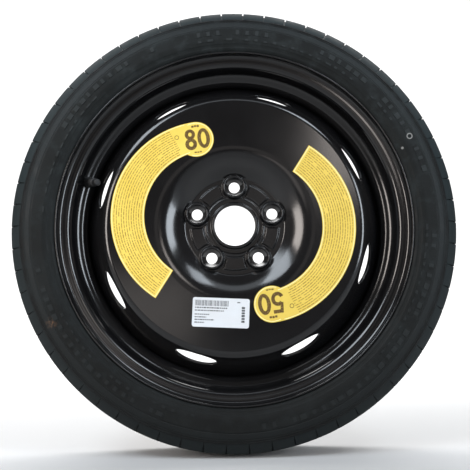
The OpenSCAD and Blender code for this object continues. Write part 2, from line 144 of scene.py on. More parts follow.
class DiscSettings(bpy.types.PropertyGroup):
    """Sizes of the pressed disc and the colour of its enamel."""

    offset: length("Offset", 0.0255, "Mounting face to the middle of the rim")
    sheet: length("Sheet", 0.004, "Thickness of the disc's sheet")
    face_h: length("Face height", 0.050, "Outboard face to the middle of the rim")
    recess_r: length("Recess radius", 0.070, "Radius where the hub recess starts to rise")
    crown_r: length("Crown radius", 0.099, "Radius where the bowl meets the face")
    shoulder_r: length("Shoulder radius", 0.1825, "Radius where the face meets the outer wall")
    wall_foot: length("Wall foot", 0.0042, "Height where the outer wall meets the welding flange")
    flange_reach: length("Flange reach", 0.009, "Reach of the welding flange past the rim's middle")
    bore_d: length("Bore", 0.0571, "Diameter of the centre bore")
    collar_h: length("Collar height", 0.0115, "Height of the collar above the mounting face")
    bolt_count: number("Bolts", 5, 3, 6, "Number of bolt holes")
    bolt_circle: length("Bolt circle", 0.112, "Diameter of the bolt circle")
    bolt_hole: length("Bolt hole", 0.0156, "Diameter of a bolt hole")
    bolt_seat: length("Bolt seat", 0.0272, "Diameter of a conical seat at its mouth")
    boss_h: length("Boss height", 0.0111, "Height of the bosses above the mounting face")
    boss_d: length("Boss diameter", 0.031, "Diameter of a boss at its top")
    vent_count: number("Vents", 8, 4, 12, "Number of vents")
    vent_angle: angle("First vent", 27.9, "Angle of the first vent")
    vent_l: length("Vent length", 0.060, "Length of a vent")
    vent_w: length("Vent width", 0.024, "Width of a vent")
    enamel: tint("Enamel", (0.0042, 0.0042, 0.0046), "Colour of the black enamel")


class ValveSettings(bpy.types.PropertyGroup):
    """Sizes and colours of the valve."""

    place: angle("Place", 162, "Angle of the valve round the rim")
    hole_d: length("Hole", 0.0113, "Diameter of the valve hole")
    body_d: length("Body diameter", 0.0124, "Diameter of the rubber body")
    body_l: length("Body length", 0.021, "Length of the rubber body above the rim")
    stem_tip: length("Stem tip", 0.0075, "Length of the stem above the rubber")
    thread_d: length("Thread", 0.0077, "Diameter of the cap's thread")
    cap_d: length("Cap diameter", 0.010, "Outside diameter of the cap")
    rubber: tint("Valve rubber", (0.012, 0.012, 0.0125), "Colour of the valve's rubber")
    plastic: tint("Cap plastic", (0.004, 0.004, 0.0045), "Colour of the cap")
    brass: tint("Brass", (0.66, 0.47, 0.19), "Colour of the stem and core")
    steel: tint("Steel", (0.58, 0.57, 0.55), "Colour of the pin and spring")
    seal: tint("Seal", (0.30, 0.035, 0.025), "Colour of the core's gasket")


class LabelSettings(bpy.types.PropertyGroup):
    """Sizes and colours of the labels."""

    sheet: length("Film", 0.0003, "Thickness of a label")
    band_outer: length("Band radius", 0.1352, "Outer radius of a speed label's band")
    band_w: length("Band width", 0.0466, "Width of a speed label's band where it is widest")
    band_taper: length("Band taper", 0.0042, "Distance by which the band narrows towards its ends")
    head_r: length("Head radius", 0.0251, "Radius of a speed label's round head")
    yellow_left: tint("Left yellow", (0.78, 0.575, 0.098), "Film of the upper left label")
    yellow_right: tint("Right yellow", (0.70, 0.52, 0.090), "Film of the lower right label")
    ink: tint("Ink", (0.085, 0.042, 0.008), "Dark brown ink of the digits")
    fine_ink: tint("Fine ink", (0.27, 0.155, 0.018), "Brown ink of the fine rows")
    border: tint("Border", (0.98, 0.93, 0.55), "Pale line inside a speed label's edge")
    white: tint("White", (0.66, 0.68, 0.70), "Film of the parts label")
    grey_ink: tint("Grey ink", (0.05, 0.055, 0.06), "Ink of the parts label")


class StageSettings(bpy.types.PropertyGroup):
    """Camera and floor."""

    camera_x: spot("Camera X", -0.014, "Camera place across")
    camera_y: spot("Camera Y", -0.975, "Camera place along the axle")
    camera_z: spot("Camera Z", -0.1375, "Camera height from the axle")
    yaw: angle("Yaw", 0.86, "Camera turned towards +X")
    pitch: angle("Pitch", 7.52, "Camera tilted up")
    roll: angle("Roll", -0.78, "Camera rolled")
    lens: FloatProperty(name="Lens", description="Focal length in millimetres", default=51.5, min=10, max=200)
    floor: tint("Floor", (0.62, 0.62, 0.62), "Colour of the floor and backdrop")


# Shape helpers. Profiles are in millimetres, as (radius, height), and the height grows towards -Y.


def unit(v):
    """A vector's direction."""
    return v / np.linalg.norm(v)


def left_of(v):
    """A 2-D vector turned a quarter turn to the left."""
    return np.array([-v[1], v[0]])


def on_circle(angles):
    """Points of the unit circle."""
    return np.stack([np.cos(angles), np.sin(angles)], axis=1)


def bend(a, b, c, radius, step):
    """Points and left-hand normals along the arc that rounds corner b."""
    u = unit(a - b)
    w = unit(c - b)
    half = math.acos(max(-1.0, min(1.0, float(u @ w)))) / 2
    ab = b - a
    bc = c - b
    side = math.copysign(1.0, ab[0] * bc[1] - ab[1] * bc[0])
    centre = b + unit(u + w) * radius / math.sin(half)
    first = unit(b + u * radius / math.tan(half) - centre)
    sweep = math.pi - 2 * half
    count = max(2, math.ceil(sweep / step))
    made = []
    for k in range(count + 1):
        t = side * sweep * k / count
        d = math.cos(t) * first + math.sin(t) * left_of(first)
        made.append((centre + radius * d, -side * d))
    return made


def rounded(path, step, spacing):
    """Points and left-hand normals of an open path of (radius, height, bend radius) corners."""
    p = [np.array(v[:2], float) for v in path]
    corners = [[(p[0], left_of(unit(p[1] - p[0])))]]
    corners += [bend(p[i - 1], p[i], p[i + 1], path[i][2], step) for i in range(1, len(p) - 1)]
    corners.append([(p[-1], left_of(unit(p[-1] - p[-2])))])
    made = list(corners[0])
    for run in corners[1:]:
        start = made[-1][0]
        end = run[0][0]
        count = int(np.linalg.norm(end - start) / spacing)
        for k in range(1, count):
            made.append((start + (end - start) * k / count, run[0][1]))
        made += run
    return np.array([m[0] for m in made]), np.array([m[1] for m in made])


def turn_about_axle(points, angles):
    """World places in millimetres of profile points at each angle, as rows x columns x 3."""
    r = points[:, 0][:, None]
    h = points[:, 1][:, None]
    return np.stack([r * np.cos(angles), -h + 0 * angles, r * np.sin(angles)], axis=-1)


def ring_faces(rows, columns, joined=False):
    """Quads of a grid whose columns close into a ring, and whose rows close too when joined is set."""
    return [
        (
            i * columns + j,
            i * columns + (j + 1) % columns,
            (i + 1) % rows * columns + (j + 1) % columns,
            (i + 1) % rows * columns + j,
        )
        for i in range(rows if joined else rows - 1)
        for j in range(columns)
    ]


def closed_edges(start, count):
    """Edges of a closed loop of points."""
    return [(start + i, start + (i + 1) % count) for i in range(count)]


def triangulate(points, edges):
    """Points, triangles and the triangles' middles of a flat patch that keeps the given edges."""
    places, _, triangles, *_ = delaunay_2d_cdt([Vector(p) for p in points], edges, [], 0, 1e-5)
    flat = np.array([tuple(v) for v in places])
    triangles = np.array(triangles)
    return flat, triangles, flat[triangles].mean(axis=1)


def smoothstep(x):
    """0 below 0, 1 above 1, and a smooth rise between them."""
    t = np.clip(x, 0.0, 1.0)
    return t * t * (3 - 2 * t)


def soft_max(a, b, k):
    """The larger of a and b, blended where they differ by less than k."""
    h = np.clip(k - np.abs(a - b), 0.0, None) / k
    return np.maximum(a, b) + h * h * k / 4


def soft_min(a, b, k):
    """The smaller of a and b, blended in the same way."""
    return -soft_max(-a, -b, k)


def outward(points):
    """Normals of an open profile, to the right of its direction."""
    d = np.gradient(points, axis=0)
    n = np.stack([d[:, 1], -d[:, 0]], axis=1)
    return n / np.maximum(np.linalg.norm(n, axis=1, keepdims=True), 1e-9)


def place(name, mesh, body, material, record_slot, *nodes):
    """Links a mesh as a piece of the wheel."""
    obj = bpy.data.objects.new(name, mesh)
    bpy.context.scene.collection.objects.link(obj)
    mesh.materials.append(material)
    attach(obj, body)
    if nodes:
        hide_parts(*nodes)


def plain_mesh(name, places, faces, sharp):
    """A mesh in millimetres with smooth faces and sharp corners above an angle."""
    mesh = bpy.data.meshes.new(name)
    mesh.from_pydata((np.asarray(places, float).reshape(-1, 3) * MM).tolist(), [], faces)
    mesh.validate()
    mesh.shade_smooth()
    mesh.set_sharp_from_angle(angle=math.radians(sharp))
    return mesh


def dress(node, material):
    """Gives a CAD node its finish."""
    obj = NODES[node]
    obj.data.materials.clear()
    obj.data.materials.append(material)


WELDS_PER_MM = 500  # places that round to the same 1/500 mm become one vertex


class Patchwork:
    """Gathers patches of faces with their own normals and welds them into one mesh."""

    def __init__(self):
        self.places = []
        self.normals = []
        self.faces = []
        self.count = 0

    def add(self, places, normals, faces):
        places = np.asarray(places, float).reshape(-1, 3)
        self.places.append(places)
        self.normals.append(np.asarray(normals, float).reshape(-1, 3))
        self.faces += [tuple(self.count + i for i in f) for f in faces]
        self.count += len(places)

    def add_grid(self, places, normals):
        """Rows x columns of places; the columns close into a ring."""
        self.add(places, normals, ring_faces(*places.shape[:2]))

    def add_ring(self, points, normals, angles=RINGS):
        """A profile turned about the axle."""
        self.add_grid(turn_about_axle(points, angles), turn_about_axle(normals, angles))

    def build(self, name, body, material, record_slot, *nodes):
        places = np.concatenate(self.places)
        normals = np.concatenate(self.normals)
        keys = np.round(places * WELDS_PER_MM).astype(np.int64)
        _, first, where = np.unique(keys, axis=0, return_index=True, return_inverse=True)
        where = where.reshape(-1)
        faces = []
        corners = []
        for f in self.faces:
            kept = [i for k, i in enumerate(f) if where[i] != where[f[k - 1]]]
            if len(kept) < 3:
                continue
            # Every face is turned to look along its normals
            a, b, c = (places[kept[k]] for k in (0, 1, 2))
            facing = np.cross(b - a, c - a)
            if len(kept) == 4:
                facing = np.cross(c - a, places[kept[3]] - b)
            if facing @ normals[kept].sum(axis=0) < 0:
                kept.reverse()
            faces.append([int(where[i]) for i in kept])
            corners += kept
        mesh = bpy.data.meshes.new(name)
        mesh.from_pydata((places[first] * MM).tolist(), [], faces)
        mesh.shade_smooth()
        lengths = np.linalg.norm(normals, axis=1, keepdims=True)
        mesh.normals_split_custom_set((normals / np.maximum(lengths, 1e-9))[corners].tolist())
        place(name, mesh, body, material, record_slot, *nodes)


# Finishes

DUST = (0.25, 0.25, 0.25)
WELD_DARK = (0.006, 0.006, 0.0065)
WELD_PALE = (0.022, 0.021, 0.020)
TREAD_EDGE = (0.294, 0.298)  # radii in metres over which the sidewall's rubber turns into the tread's
# Painted highlight: a paler ring over the rounded ridge round the sidewall
PAINTED_HIGHLIGHT_BAND = (0.280, 0.2825, 0.2895, 0.2915)  # radii where a ring starts, is full, is still full and ends
PAINTED_HIGHLIGHT_AMOUNT = 0.6
PAINTED_HIGHLIGHT_GREY = (0.024, 0.029, 0.031)
# Painted shade: a dark ring over the groove near the tread's shoulder
GROOVE_SHADE = (0.2912, 0.2930, 0.2958, 0.2972)
GROOVE_SHADE_AMOUNT = 0.85
GROOVE_SHADE_BLACK = (0.0025, 0.0025, 0.0030)
CLOUD_GREY = (0.017, 0.022, 0.0235)
SMEAR_GREY = (0.031, 0.039, 0.041)
# Paler tops of the raised blocks, as dust and a painted highlight
BLOCK_DUST_AND_HIGHLIGHT_GREY = (0.044, 0.052, 0.054)
# Painted shade on the lower part of the tyre
LOW_SHADE_BLACK = (0.0020, 0.0022, 0.0020)
GRAIN_GREY = (0.010, 0.011, 0.011)
SCUFF_AT = (-0.2483, -0.0615, -0.1337)
RING_AT = (0.2462, -0.0629, 0.1201)
DOT_AT = (0.2356, -0.0610, 0.1034)
PAINT_AMOUNT = 0.6
WHITE_FILM_EDGE = (0.70, 0.75, 0.80)
PAPER_GREY = (0.60, 0.62, 0.64)


def shade(colour, factor, lift=0.0):
    """A colour scaled and lifted."""
    return tuple(min(1.0, factor * c + lift) for c in colour)


class Finish:
    """Builds one node material."""

    def __init__(self, name):
        self.material = bpy.data.materials.new(name)
        self.material.use_nodes = True
        self.tree = self.material.node_tree
        self.tree.nodes.clear()
        self.shader = self.node("ShaderNodeBsdfPrincipled")
        out = self.node("ShaderNodeOutputMaterial")
        self.link(self.shader.outputs[0], out.inputs[0])
        self.coords = self.node("ShaderNodeTexCoord").outputs["Object"]

    def node(self, kind, **values):
        made = self.tree.nodes.new(kind)
        for key, value in values.items():
            setattr(made, key, value)
        return made

    def link(self, a, b):
        self.tree.links.new(a, b)

    def feed(self, value, socket):
        """Links a socket or sets a number or a colour."""
        if isinstance(value, bpy.types.NodeSocket):
            self.link(value, socket)
        elif isinstance(value, tuple):
            socket.default_value = (*value, 1.0)
        else:
            socket.default_value = value

    def use(self, value, target):
        """Gives one input of the shader its value."""
        self.feed(value, self.shader.inputs[target])

    def noise(self, scale, detail, roughness, vector=None):
        made = self.node("ShaderNodeTexNoise")
        made.inputs["Scale"].default_value = scale
        made.inputs["Detail"].default_value = detail
        made.inputs["Roughness"].default_value = roughness
        self.link(vector or self.coords, made.inputs["Vector"])
        return made.outputs["Fac"]

    def stretch(self, x, y, z):
        """Coordinates scaled by axis."""
        made = self.node("ShaderNodeMapping")
        made.inputs["Scale"].default_value = (x, y, z)
        self.link(self.coords, made.inputs["Vector"])
        return made.outputs[0]

    def remap(self, value, low, high, to_low, to_high):
        """A value from low to high, turned into one from to_low to to_high."""
        made = self.node("ShaderNodeMapRange")
        made.inputs["From Min"].default_value = low
        made.inputs["From Max"].default_value = high
        made.inputs["To Min"].default_value = to_low
        made.inputs["To Max"].default_value = to_high
        self.link(value, made.inputs["Value"])
        return made.outputs[0]

    def mix(self, factor, a, b):
        made = self.node("ShaderNodeMix", data_type="RGBA")
        for value, socket in ((factor, made.inputs[0]), (a, made.inputs[6]), (b, made.inputs[7])):
            self.feed(value, socket)
        return made.outputs[2]

    def over(self, below, colour, mask, low, high, amount):
        """A colour laid over another by up to an amount, as a mask rises from low to high."""
        return self.mix(self.remap(mask, low, high, 0.0, amount), below, colour)

    def rough(self, mask, low, high, smooth, dull):
        """Makes the roughness follow a mask."""
        self.use(self.remap(mask, low, high, smooth, dull), "Roughness")

    def maths(self, operation, a, b=0.0):
        made = self.node("ShaderNodeMath", operation=operation)
        for value, socket in zip((a, b), made.inputs):
            self.feed(value, socket)
        return made.outputs[0]

    def split(self):
        """X, Y and Z of the coordinates."""
        parts = self.node("ShaderNodeSeparateXYZ")
        self.link(self.coords, parts.inputs[0])
        return parts.outputs

    def radius(self):
        """Distance from the axle in metres."""
        x, _, z = self.split()
        squares = self.maths("ADD", self.maths("MULTIPLY", x, x), self.maths("MULTIPLY", z, z))
        return self.maths("SQRT", squares)

    def ring(self, r, start, full, still_full, end):
        """1 on a ring round the axle, fading to 0 at both sides."""
        rise = self.remap(r, start, full, 0.0, 1.0)
        fall = self.remap(r, still_full, end, 1.0, 0.0)
        return self.maths("MULTIPLY", rise, fall)

    def near(self, point, inner, outer):
        """1 near a point, fading to 0 between two distances in metres."""
        made = self.node("ShaderNodeVectorMath", operation="DISTANCE")
        self.link(self.coords, made.inputs[0])
        made.inputs[1].default_value = point
        return self.remap(made.outputs["Value"], inner, outer, 1.0, 0.0)

    def bump(self, height, strength, distance, below=None):
        """Lays a bump over the one below, and gives the shader its normals."""
        made = self.node("ShaderNodeBump")
        made.inputs["Strength"].default_value = strength
        made.inputs["Distance"].default_value = distance
        self.link(height, made.inputs["Height"])
        if below is not None:
            self.link(below, made.inputs["Normal"])
        self.link(made.outputs[0], self.shader.inputs["Normal"])
        return made.outputs[0]


def enamel_finish():
    """Gloss black enamel with faint orange peel, dust and dull patches, shared by the rim and the disc."""
    made = bpy.data.materials.get("gloss_enamel")
    if made:
        return made
    colour = tuple(bpy.context.scene.spare_disc.enamel)
    f = Finish("gloss_enamel")
    haze = f.noise(scale=9.0, detail=4.0, roughness=0.6)
    base = f.over(colour, shade(colour, 1.7), haze, low=0.3, high=0.75, amount=1.0)
    dust = f.noise(scale=420.0, detail=2.0, roughness=0.5)
    f.use(f.over(base, DUST, dust, low=0.70, high=0.78, amount=0.06), "Base Color")
    f.rough(haze, low=0.25, high=0.8, smooth=0.11, dull=0.19)
    peel = f.bump(f.noise(scale=260.0, detail=1.0, roughness=0.4), strength=0.012, distance=0.0003)
    f.bump(f.noise(scale=34.0, detail=2.0, roughness=0.5), strength=0.03, distance=0.0006, below=peel)
    f.use(0.55, "Specular IOR Level")
    return f.material


def weld_finish():
    """Black enamel over rough weld metal."""
    f = Finish("weld_metal")
    spatter = f.noise(scale=900.0, detail=3.0, roughness=0.6)
    f.use(f.over(WELD_DARK, WELD_PALE, spatter, low=0.4, high=0.7, amount=1.0), "Base Color")
    f.rough(spatter, low=0.3, high=0.7, smooth=0.28, dull=0.5)
    f.bump(f.noise(scale=700.0, detail=2.0, roughness=0.5), strength=0.35, distance=0.0008)
    return f.material


def tyre_finish(settings, name, dust_and_highlight):
    """Moulded rubber: bluish dusty tread, grey-black sidewall, fine turned lines and a rusty scuff, with a
    painted highlight band, painted shade in the shoulder groove and low down, and block tops paler with dust
    and a painted highlight.
    """
    f = Finish(name)
    r = f.radius()
    smear = f.noise(scale=48.0, detail=5.0, roughness=0.65)
    grain = f.noise(scale=650.0, detail=2.0, roughness=0.6)
    colour = f.over(tuple(settings.rubber), tuple(settings.tread_rubber), r, *TREAD_EDGE, amount=1.0)
    # A paler ring paints the highlight on the sidewall's rounded ridge
    painted_highlight = f.maths("MULTIPLY", f.ring(r, *PAINTED_HIGHLIGHT_BAND), PAINTED_HIGHLIGHT_AMOUNT)
    colour = f.mix(painted_highlight, colour, PAINTED_HIGHLIGHT_GREY)
    # A dark ring paints the shade in the groove near the shoulder
    groove_shade = f.maths("MULTIPLY", f.ring(r, *GROOVE_SHADE), GROOVE_SHADE_AMOUNT)
    colour = f.mix(groove_shade, colour, GROOVE_SHADE_BLACK)
    cloud = f.noise(scale=14.0, detail=5.0, roughness=0.6)
    colour = f.over(colour, CLOUD_GREY, cloud, low=0.42, high=0.70, amount=0.55)
    colour = f.over(colour, SMEAR_GREY, smear, low=0.50, high=0.68, amount=0.45)
    # The raised blocks' tops are painted paler, as dust and a painted highlight
    colour = f.mix(dust_and_highlight, colour, BLOCK_DUST_AND_HIGHLIGHT_GREY)
    # Painted shade: the lower part of the tyre is darker
    painted_low_shade = f.remap(f.split()[2], low=-0.26, high=0.16, to_low=0.62, to_high=0.0)
    colour = f.mix(painted_low_shade, colour, LOW_SHADE_BLACK)
    colour = f.over(colour, GRAIN_GREY, grain, low=0.35, high=0.75, amount=0.35)
    blotch = f.noise(scale=230.0, detail=4.0, roughness=0.7)
    blotch = f.remap(blotch, low=0.47, high=0.66, to_low=0.0, to_high=0.75)
    scuff = f.maths("MULTIPLY", f.near(SCUFF_AT, inner=0.002, outer=0.010), blotch)
    colour = f.mix(scuff, colour, tuple(settings.scuff))
    # A small painted ring and dot on the sidewall
    disc = f.near(RING_AT, inner=0.0040, outer=0.0046)
    hole = f.near(RING_AT, inner=0.0026, outer=0.0031)
    ring = f.maths("SUBTRACT", disc, hole)
    dot = f.near(DOT_AT, inner=0.0016, outer=0.0024)
    paint = f.maths("MULTIPLY", f.maths("MAXIMUM", ring, dot), PAINT_AMOUNT)
    f.use(f.mix(paint, colour, tuple(settings.paint_mark)), "Base Color")
    f.rough(smear, low=0.3, high=0.7, smooth=0.46, dull=0.72)
    lines = f.node("ShaderNodeTexWave", wave_type="RINGS", rings_direction="Y", wave_profile="SIN")
    lines.inputs["Scale"].default_value = 260.0
    lines.inputs["Distortion"].default_value = 0.0
    f.link(f.coords, lines.inputs["Vector"])
    turned_lines = f.bump(lines.outputs["Fac"], strength=0.05, distance=0.0003)
    f.bump(grain, strength=0.16, distance=0.0005, below=turned_lines)
    f.use(0.17, "Specular IOR Level")
    return f.material


def rubber_finish(name, colour):
    """Plain moulded rubber or plastic with a fine grain."""
    f = Finish(name)
    cloud = f.noise(scale=160.0, detail=3.0, roughness=0.5)
    f.use(f.over(colour, shade(colour, 2.2, 0.004), cloud, low=0.35, high=0.7, amount=0.5), "Base Color")
    f.rough(cloud, low=0.3, high=0.7, smooth=0.42, dull=0.6)
    f.bump(f.noise(scale=1800.0, detail=2.0, roughness=0.5), strength=0.12, distance=0.0002)
    return f.material


def metal_finish(name, colour, roughness):
    """Turned metal with fine tool marks."""
    f = Finish(name)
    marks = f.noise(scale=1500.0, detail=2.0, roughness=0.6, vector=f.stretch(x=1.0, y=6.0, z=1.0))
    f.use(f.over(colour, shade(colour, 0.72), marks, low=0.3, high=0.7, amount=0.5), "Base Color")
    f.rough(marks, low=0.3, high=0.7, smooth=roughness, dull=roughness + 0.16)
    f.bump(marks, strength=0.08, distance=0.0002)
    f.use(1.0, "Metallic")
    return f.material


def film_finish(name, colour, edge):
    """Satin label film with faint ripples and grime."""
    f = Finish(name)
    cloud = f.noise(scale=24.0, detail=4.0, roughness=0.55)
    base = f.over(colour, edge, cloud, low=0.35, high=0.72, amount=0.8)
    specks = f.noise(scale=1400.0, detail=2.0, roughness=0.5)
    f.use(f.over(base, shade(colour, 0.6), specks, low=0.45, high=0.75, amount=0.10), "Base Color")
    f.rough(cloud, low=0.3, high=0.7, smooth=0.32, dull=0.46)
    f.bump(f.noise(scale=55.0, detail=2.0, roughness=0.5), strength=0.10, distance=0.0006)
    f.use(0.4, "Specular IOR Level")
    return f.material


def ink_finish(name, colour, paper):
    """Printed ink, slightly uneven, so that the film shows through."""
    f = Finish(name)
    wear = f.noise(scale=900.0, detail=3.0, roughness=0.6)
    f.use(f.over(colour, paper, wear, low=0.5, high=0.78, amount=0.55), "Base Color")
    f.rough(wear, low=0.3, high=0.7, smooth=0.36, dull=0.5)
    f.bump(wear, strength=0.05, distance=0.0001)
    return f.material


# Tyre

SHOULDER_PULL = np.array([-8.4, 8.0])  # how the sidewall's curve leaves the shoulder
WIDEST_PULL = 0.45  # how far up to the shoulder it stays upright at its widest point, as a share
LOWER_PULL = np.array([9, 0])  # how it leaves the widest point downwards
FLANGE_PULL = np.array([4.5, 5])  # how it meets the rim's flange
WALL_START = 0.09  # share of the upper wall's curve where the shoulder's corner ends
SLOT_END = 0.45  # share of the upper wall's curve that the slots reach
CREASE = 38  # degrees above which the tyre's edges are sharp
WALL_LINES = (  # moulded lines round a sidewall, as (radius, half width, height)
    (256.0, 2.0, 0.5),
    (267.5, 0.6, 0.3),
    (281.6, 0.6, 0.4),
    (290.4, 0.6, 0.35),
    (294.6, 0.6, -0.5),
)
LINE_ROWS = (0.6, 0.9, 1.25, 1.6)  # rows of the mesh over a moulded line, in its half widths
LINE_FOOT = LINE_ROWS[-1]
ROW_STEP = 1.8  # distance between the sidewall's other rows
BLOCK_BANDS = ((262.5, 266.0), (271.0, 278.0))  # inner and outer radii of the raised plain blocks
BLOCK_H = 0.6
BLOCK_COLUMNS = 6  # columns of the mesh for a block and the gap beside it
BLOCK_RUN = (4, 15)  # blocks in a run: the least, and the number that it stays below
RUN_CHANCE = 0.62  # chance that a run has blocks
BLOCK_CHANCE = 0.88  # chance of each block in such a run
NARROW_CHANCE = 0.6  # chance that a block is two columns wide, not three
BLOCK_EDGE = 0.1  # half width of a block's steep inner and outer edges
# Share of that paler grey on the blocks' tops: dust and a painted highlight
BLOCK_DUST_AND_HIGHLIGHT = 0.4
OUTER_SKIN = 50  # the sidewall's outer skin lies above this height in the bands of blocks
BEAD_GAP = 0.05  # air between the bead and the rim, as in the solid
TOE_INSET = 1.5  # how far the bead's toe stays short of the seat's end
HEEL_BEND = 6.45
TREAD_CORNER = 3  # radius of the corner between the tread and the sidewall
SLOT_LEAD = 0.6  # the plain tread's last row before the slots
SLOT_RISE = 0.05  # half width of the step down into a slot
TREAD_LEAD = 2.2  # how far inside the tread's edge its last row lies
FLOOR_BEND = np.array([1.05, 0.67])  # place of the floor's corner in a slot, in slot depths from the skin's
GROOVE_BEND = 0.5  # bevel at a groove's edges
GROOVE_LAND = 0.4
SLOT_SIDE = 0.12  # width of a slot's steep side


def cubic(a, b, c, d, start, end, count):
    """Points of a cubic curve between two shares of it."""
    s = np.linspace(start, end, count + 1)[:, None]
    return (1 - s) ** 3 * a + 3 * (1 - s) ** 2 * s * b + 3 * (1 - s) * s * s * c + s ** 3 * d


class TyreShape:
    """Profile of the tyre, from the settings of the tyre and the rim."""

    def __init__(self, tyre, rim):
        self.r = tyre.outside_d / 2 / MM
        self.half_tread = tyre.tread_w / 2 / MM
        drop = tyre.crown_drop / MM
        self.crown_bend = (self.half_tread ** 2 + drop ** 2) / (2 * drop)
        self.half_section = tyre.section_w / 2 / MM
        self.seat = rim.seat_d / 2 / MM
        self.half_rim = rim.width / 2 / MM
        self.flange_r = self.seat + rim.flange_h / MM
        wide_r = self.seat + tyre.wide_rise / MM
        self.shoulder = np.array([self.crown(self.half_tread), self.half_tread])
        self.widest = np.array([wide_r, self.half_section])
        self.lift_off = np.array([self.flange_r + BEAD_GAP, self.half_rim + rim.flange_bend / MM + 1])
        self.shoulder_pull = self.shoulder + SHOULDER_PULL
        self.widest_pull = np.array([wide_r + WIDEST_PULL * (self.shoulder[0] - wide_r), self.half_section])

    def crown(self, h):
        """Radius of the tread at a height."""
        return self.r - self.crown_bend + np.sqrt(self.crown_bend ** 2 - h * h)

    def upper_wall(self, start, end, count):
        """Points of the sidewall's upper curve between two shares of it."""
        return cubic(self.shoulder, self.shoulder_pull, self.widest_pull, self.widest, start, end, count)

    def wall(self):
        """Outer sidewall from the shoulder to the flange."""
        upper = self.upper_wall(WALL_START, 1, 200)
        lower_pull = self.widest - LOWER_PULL
        lower = cubic(self.widest, lower_pull, self.lift_off + FLANGE_PULL, self.lift_off, 0, 1, 120)
        return np.concatenate([upper, lower[1:]])


def raise_blocks(places, side, outboard):
    """Raises plain blocks on a sidewall in runs, in place of its wording."""
    rng = np.random.default_rng(5)
    raised = np.zeros(places.shape[:2], bool)
    for inner, outer in BLOCK_BANDS:
        rows = np.where((side[:, 0] > inner) & (side[:, 0] < outer) & (side[:, 1] > OUTER_SKIN))[0]
        run = 0  # blocks that this run still has, or below 0 the places that it leaves plain
        for group in range(places.shape[1] // BLOCK_COLUMNS):
            if run == 0:
                run = int(rng.integers(*BLOCK_RUN)) * (1 if rng.random() < RUN_CHANCE else -1)
            if run > 0 and rng.random() < BLOCK_CHANCE:
                taken = [4, 5] if rng.random() < NARROW_CHANCE else [3, 4, 5]
                cut = int(rng.integers(0, 2))
                raised[np.ix_(rows[cut:], BLOCK_COLUMNS * group + np.array(taken))] = True
            run -= int(np.sign(run))
    places[..., 1] += np.where(raised, -BLOCK_H if outboard else BLOCK_H, 0.0)
    return places, raised


def sidewall(shape, top):
    """Points of the outboard sidewall from a radius to the flange, with close rows over the moulded lines."""
    smooth = shape.wall()[::-1]
    radii = list(np.arange(shape.lift_off[0] + ROW_STEP, top - 0.4, ROW_STEP))
    for centre, half, _ in WALL_LINES:
        radii += [centre + side * half * k for side in (-1, 1) for k in LINE_ROWS]
    for inner, outer in BLOCK_BANDS:
        radii += [inner - BLOCK_EDGE, inner + BLOCK_EDGE, outer - BLOCK_EDGE, outer + BLOCK_EDGE]
    radii = np.array([top] + sorted(radii, reverse=True) + [shape.lift_off[0]])
    points = np.stack([radii, np.interp(radii, smooth[:, 0], smooth[:, 1])], axis=1)
    lift = np.zeros(len(radii))
    for centre, half, height in WALL_LINES:
        lift += height * smoothstep(LINE_FOOT - np.abs(radii - centre) / half)
    points = points - lift[:, None] * outward(points)
    points[:, 1] = np.minimum(points[:, 1], shape.half_section - BLOCK_H)
    return points


def tyre_rows(shape, tyre):
    """Rows of the tread's outboard half, out to the slots' ends, on the skin and on the slots' floor."""
    half_groove = tyre.groove_w / 2 / MM
    depth = tyre.groove_depth / MM
    pitch = tyre.groove_pitch / MM
    slot_depth = tyre.slot_depth / MM

    def on(h, drop=0.0):
        return (shape.crown(h) - drop, h)

    def groove_side(middle, way):
        """A groove's side, from its floor up to the tread."""
        h = middle + way * half_groove
        floor = [on(h - way * GROOVE_BEND, depth), on(h, depth - GROOVE_BEND)]
        return floor + [on(h, GROOVE_BEND), on(h + way * GROOVE_LAND)]

    start = shape.half_tread - tyre.slot_reach / MM
    skin = [on(0, depth)] + groove_side(0, 1) + [on(pitch / 2)]
    skin += groove_side(pitch, -1)[::-1] + groove_side(pitch, 1)
    skin += [on(start - SLOT_LEAD), on(start - SLOT_RISE)]
    begin = len(skin)
    skin += [on(start + SLOT_RISE)]
    skin += [on(h) for h in np.linspace(start + 1, shape.half_tread - TREAD_LEAD, 6)]
    wall = shape.upper_wall(WALL_START, SLOT_END, 10)
    corner = bend(np.array(skin[-1]), shape.shoulder, wall[0], TREAD_CORNER, math.radians(12))
    skin = np.concatenate([np.array(skin), np.array([c[0] for c in corner]), wall])
    # The slot's floor runs straight to a corner under the shoulder, then up to the slot's end
    slot_start = np.array([shape.crown(start) - slot_depth, start])
    slot_bend = shape.shoulder - slot_depth * FLOOR_BEND
    slot_end = skin[-1]
    floor = skin.copy()
    zone = skin[begin:]
    run = np.concatenate([[0], np.cumsum(np.linalg.norm(np.diff(zone, axis=0), axis=1))])
    corner_at = run[int(np.argmin(np.linalg.norm(zone - shape.shoulder, axis=1)))]
    for i, d in enumerate(run):
        if d <= corner_at:
            floor[begin + i] = slot_start + (slot_bend - slot_start) * d / corner_at
        else:
            floor[begin + i] = slot_bend + (slot_end - slot_bend) * (d - corner_at) / (run[-1] - corner_at)
    return skin, floor


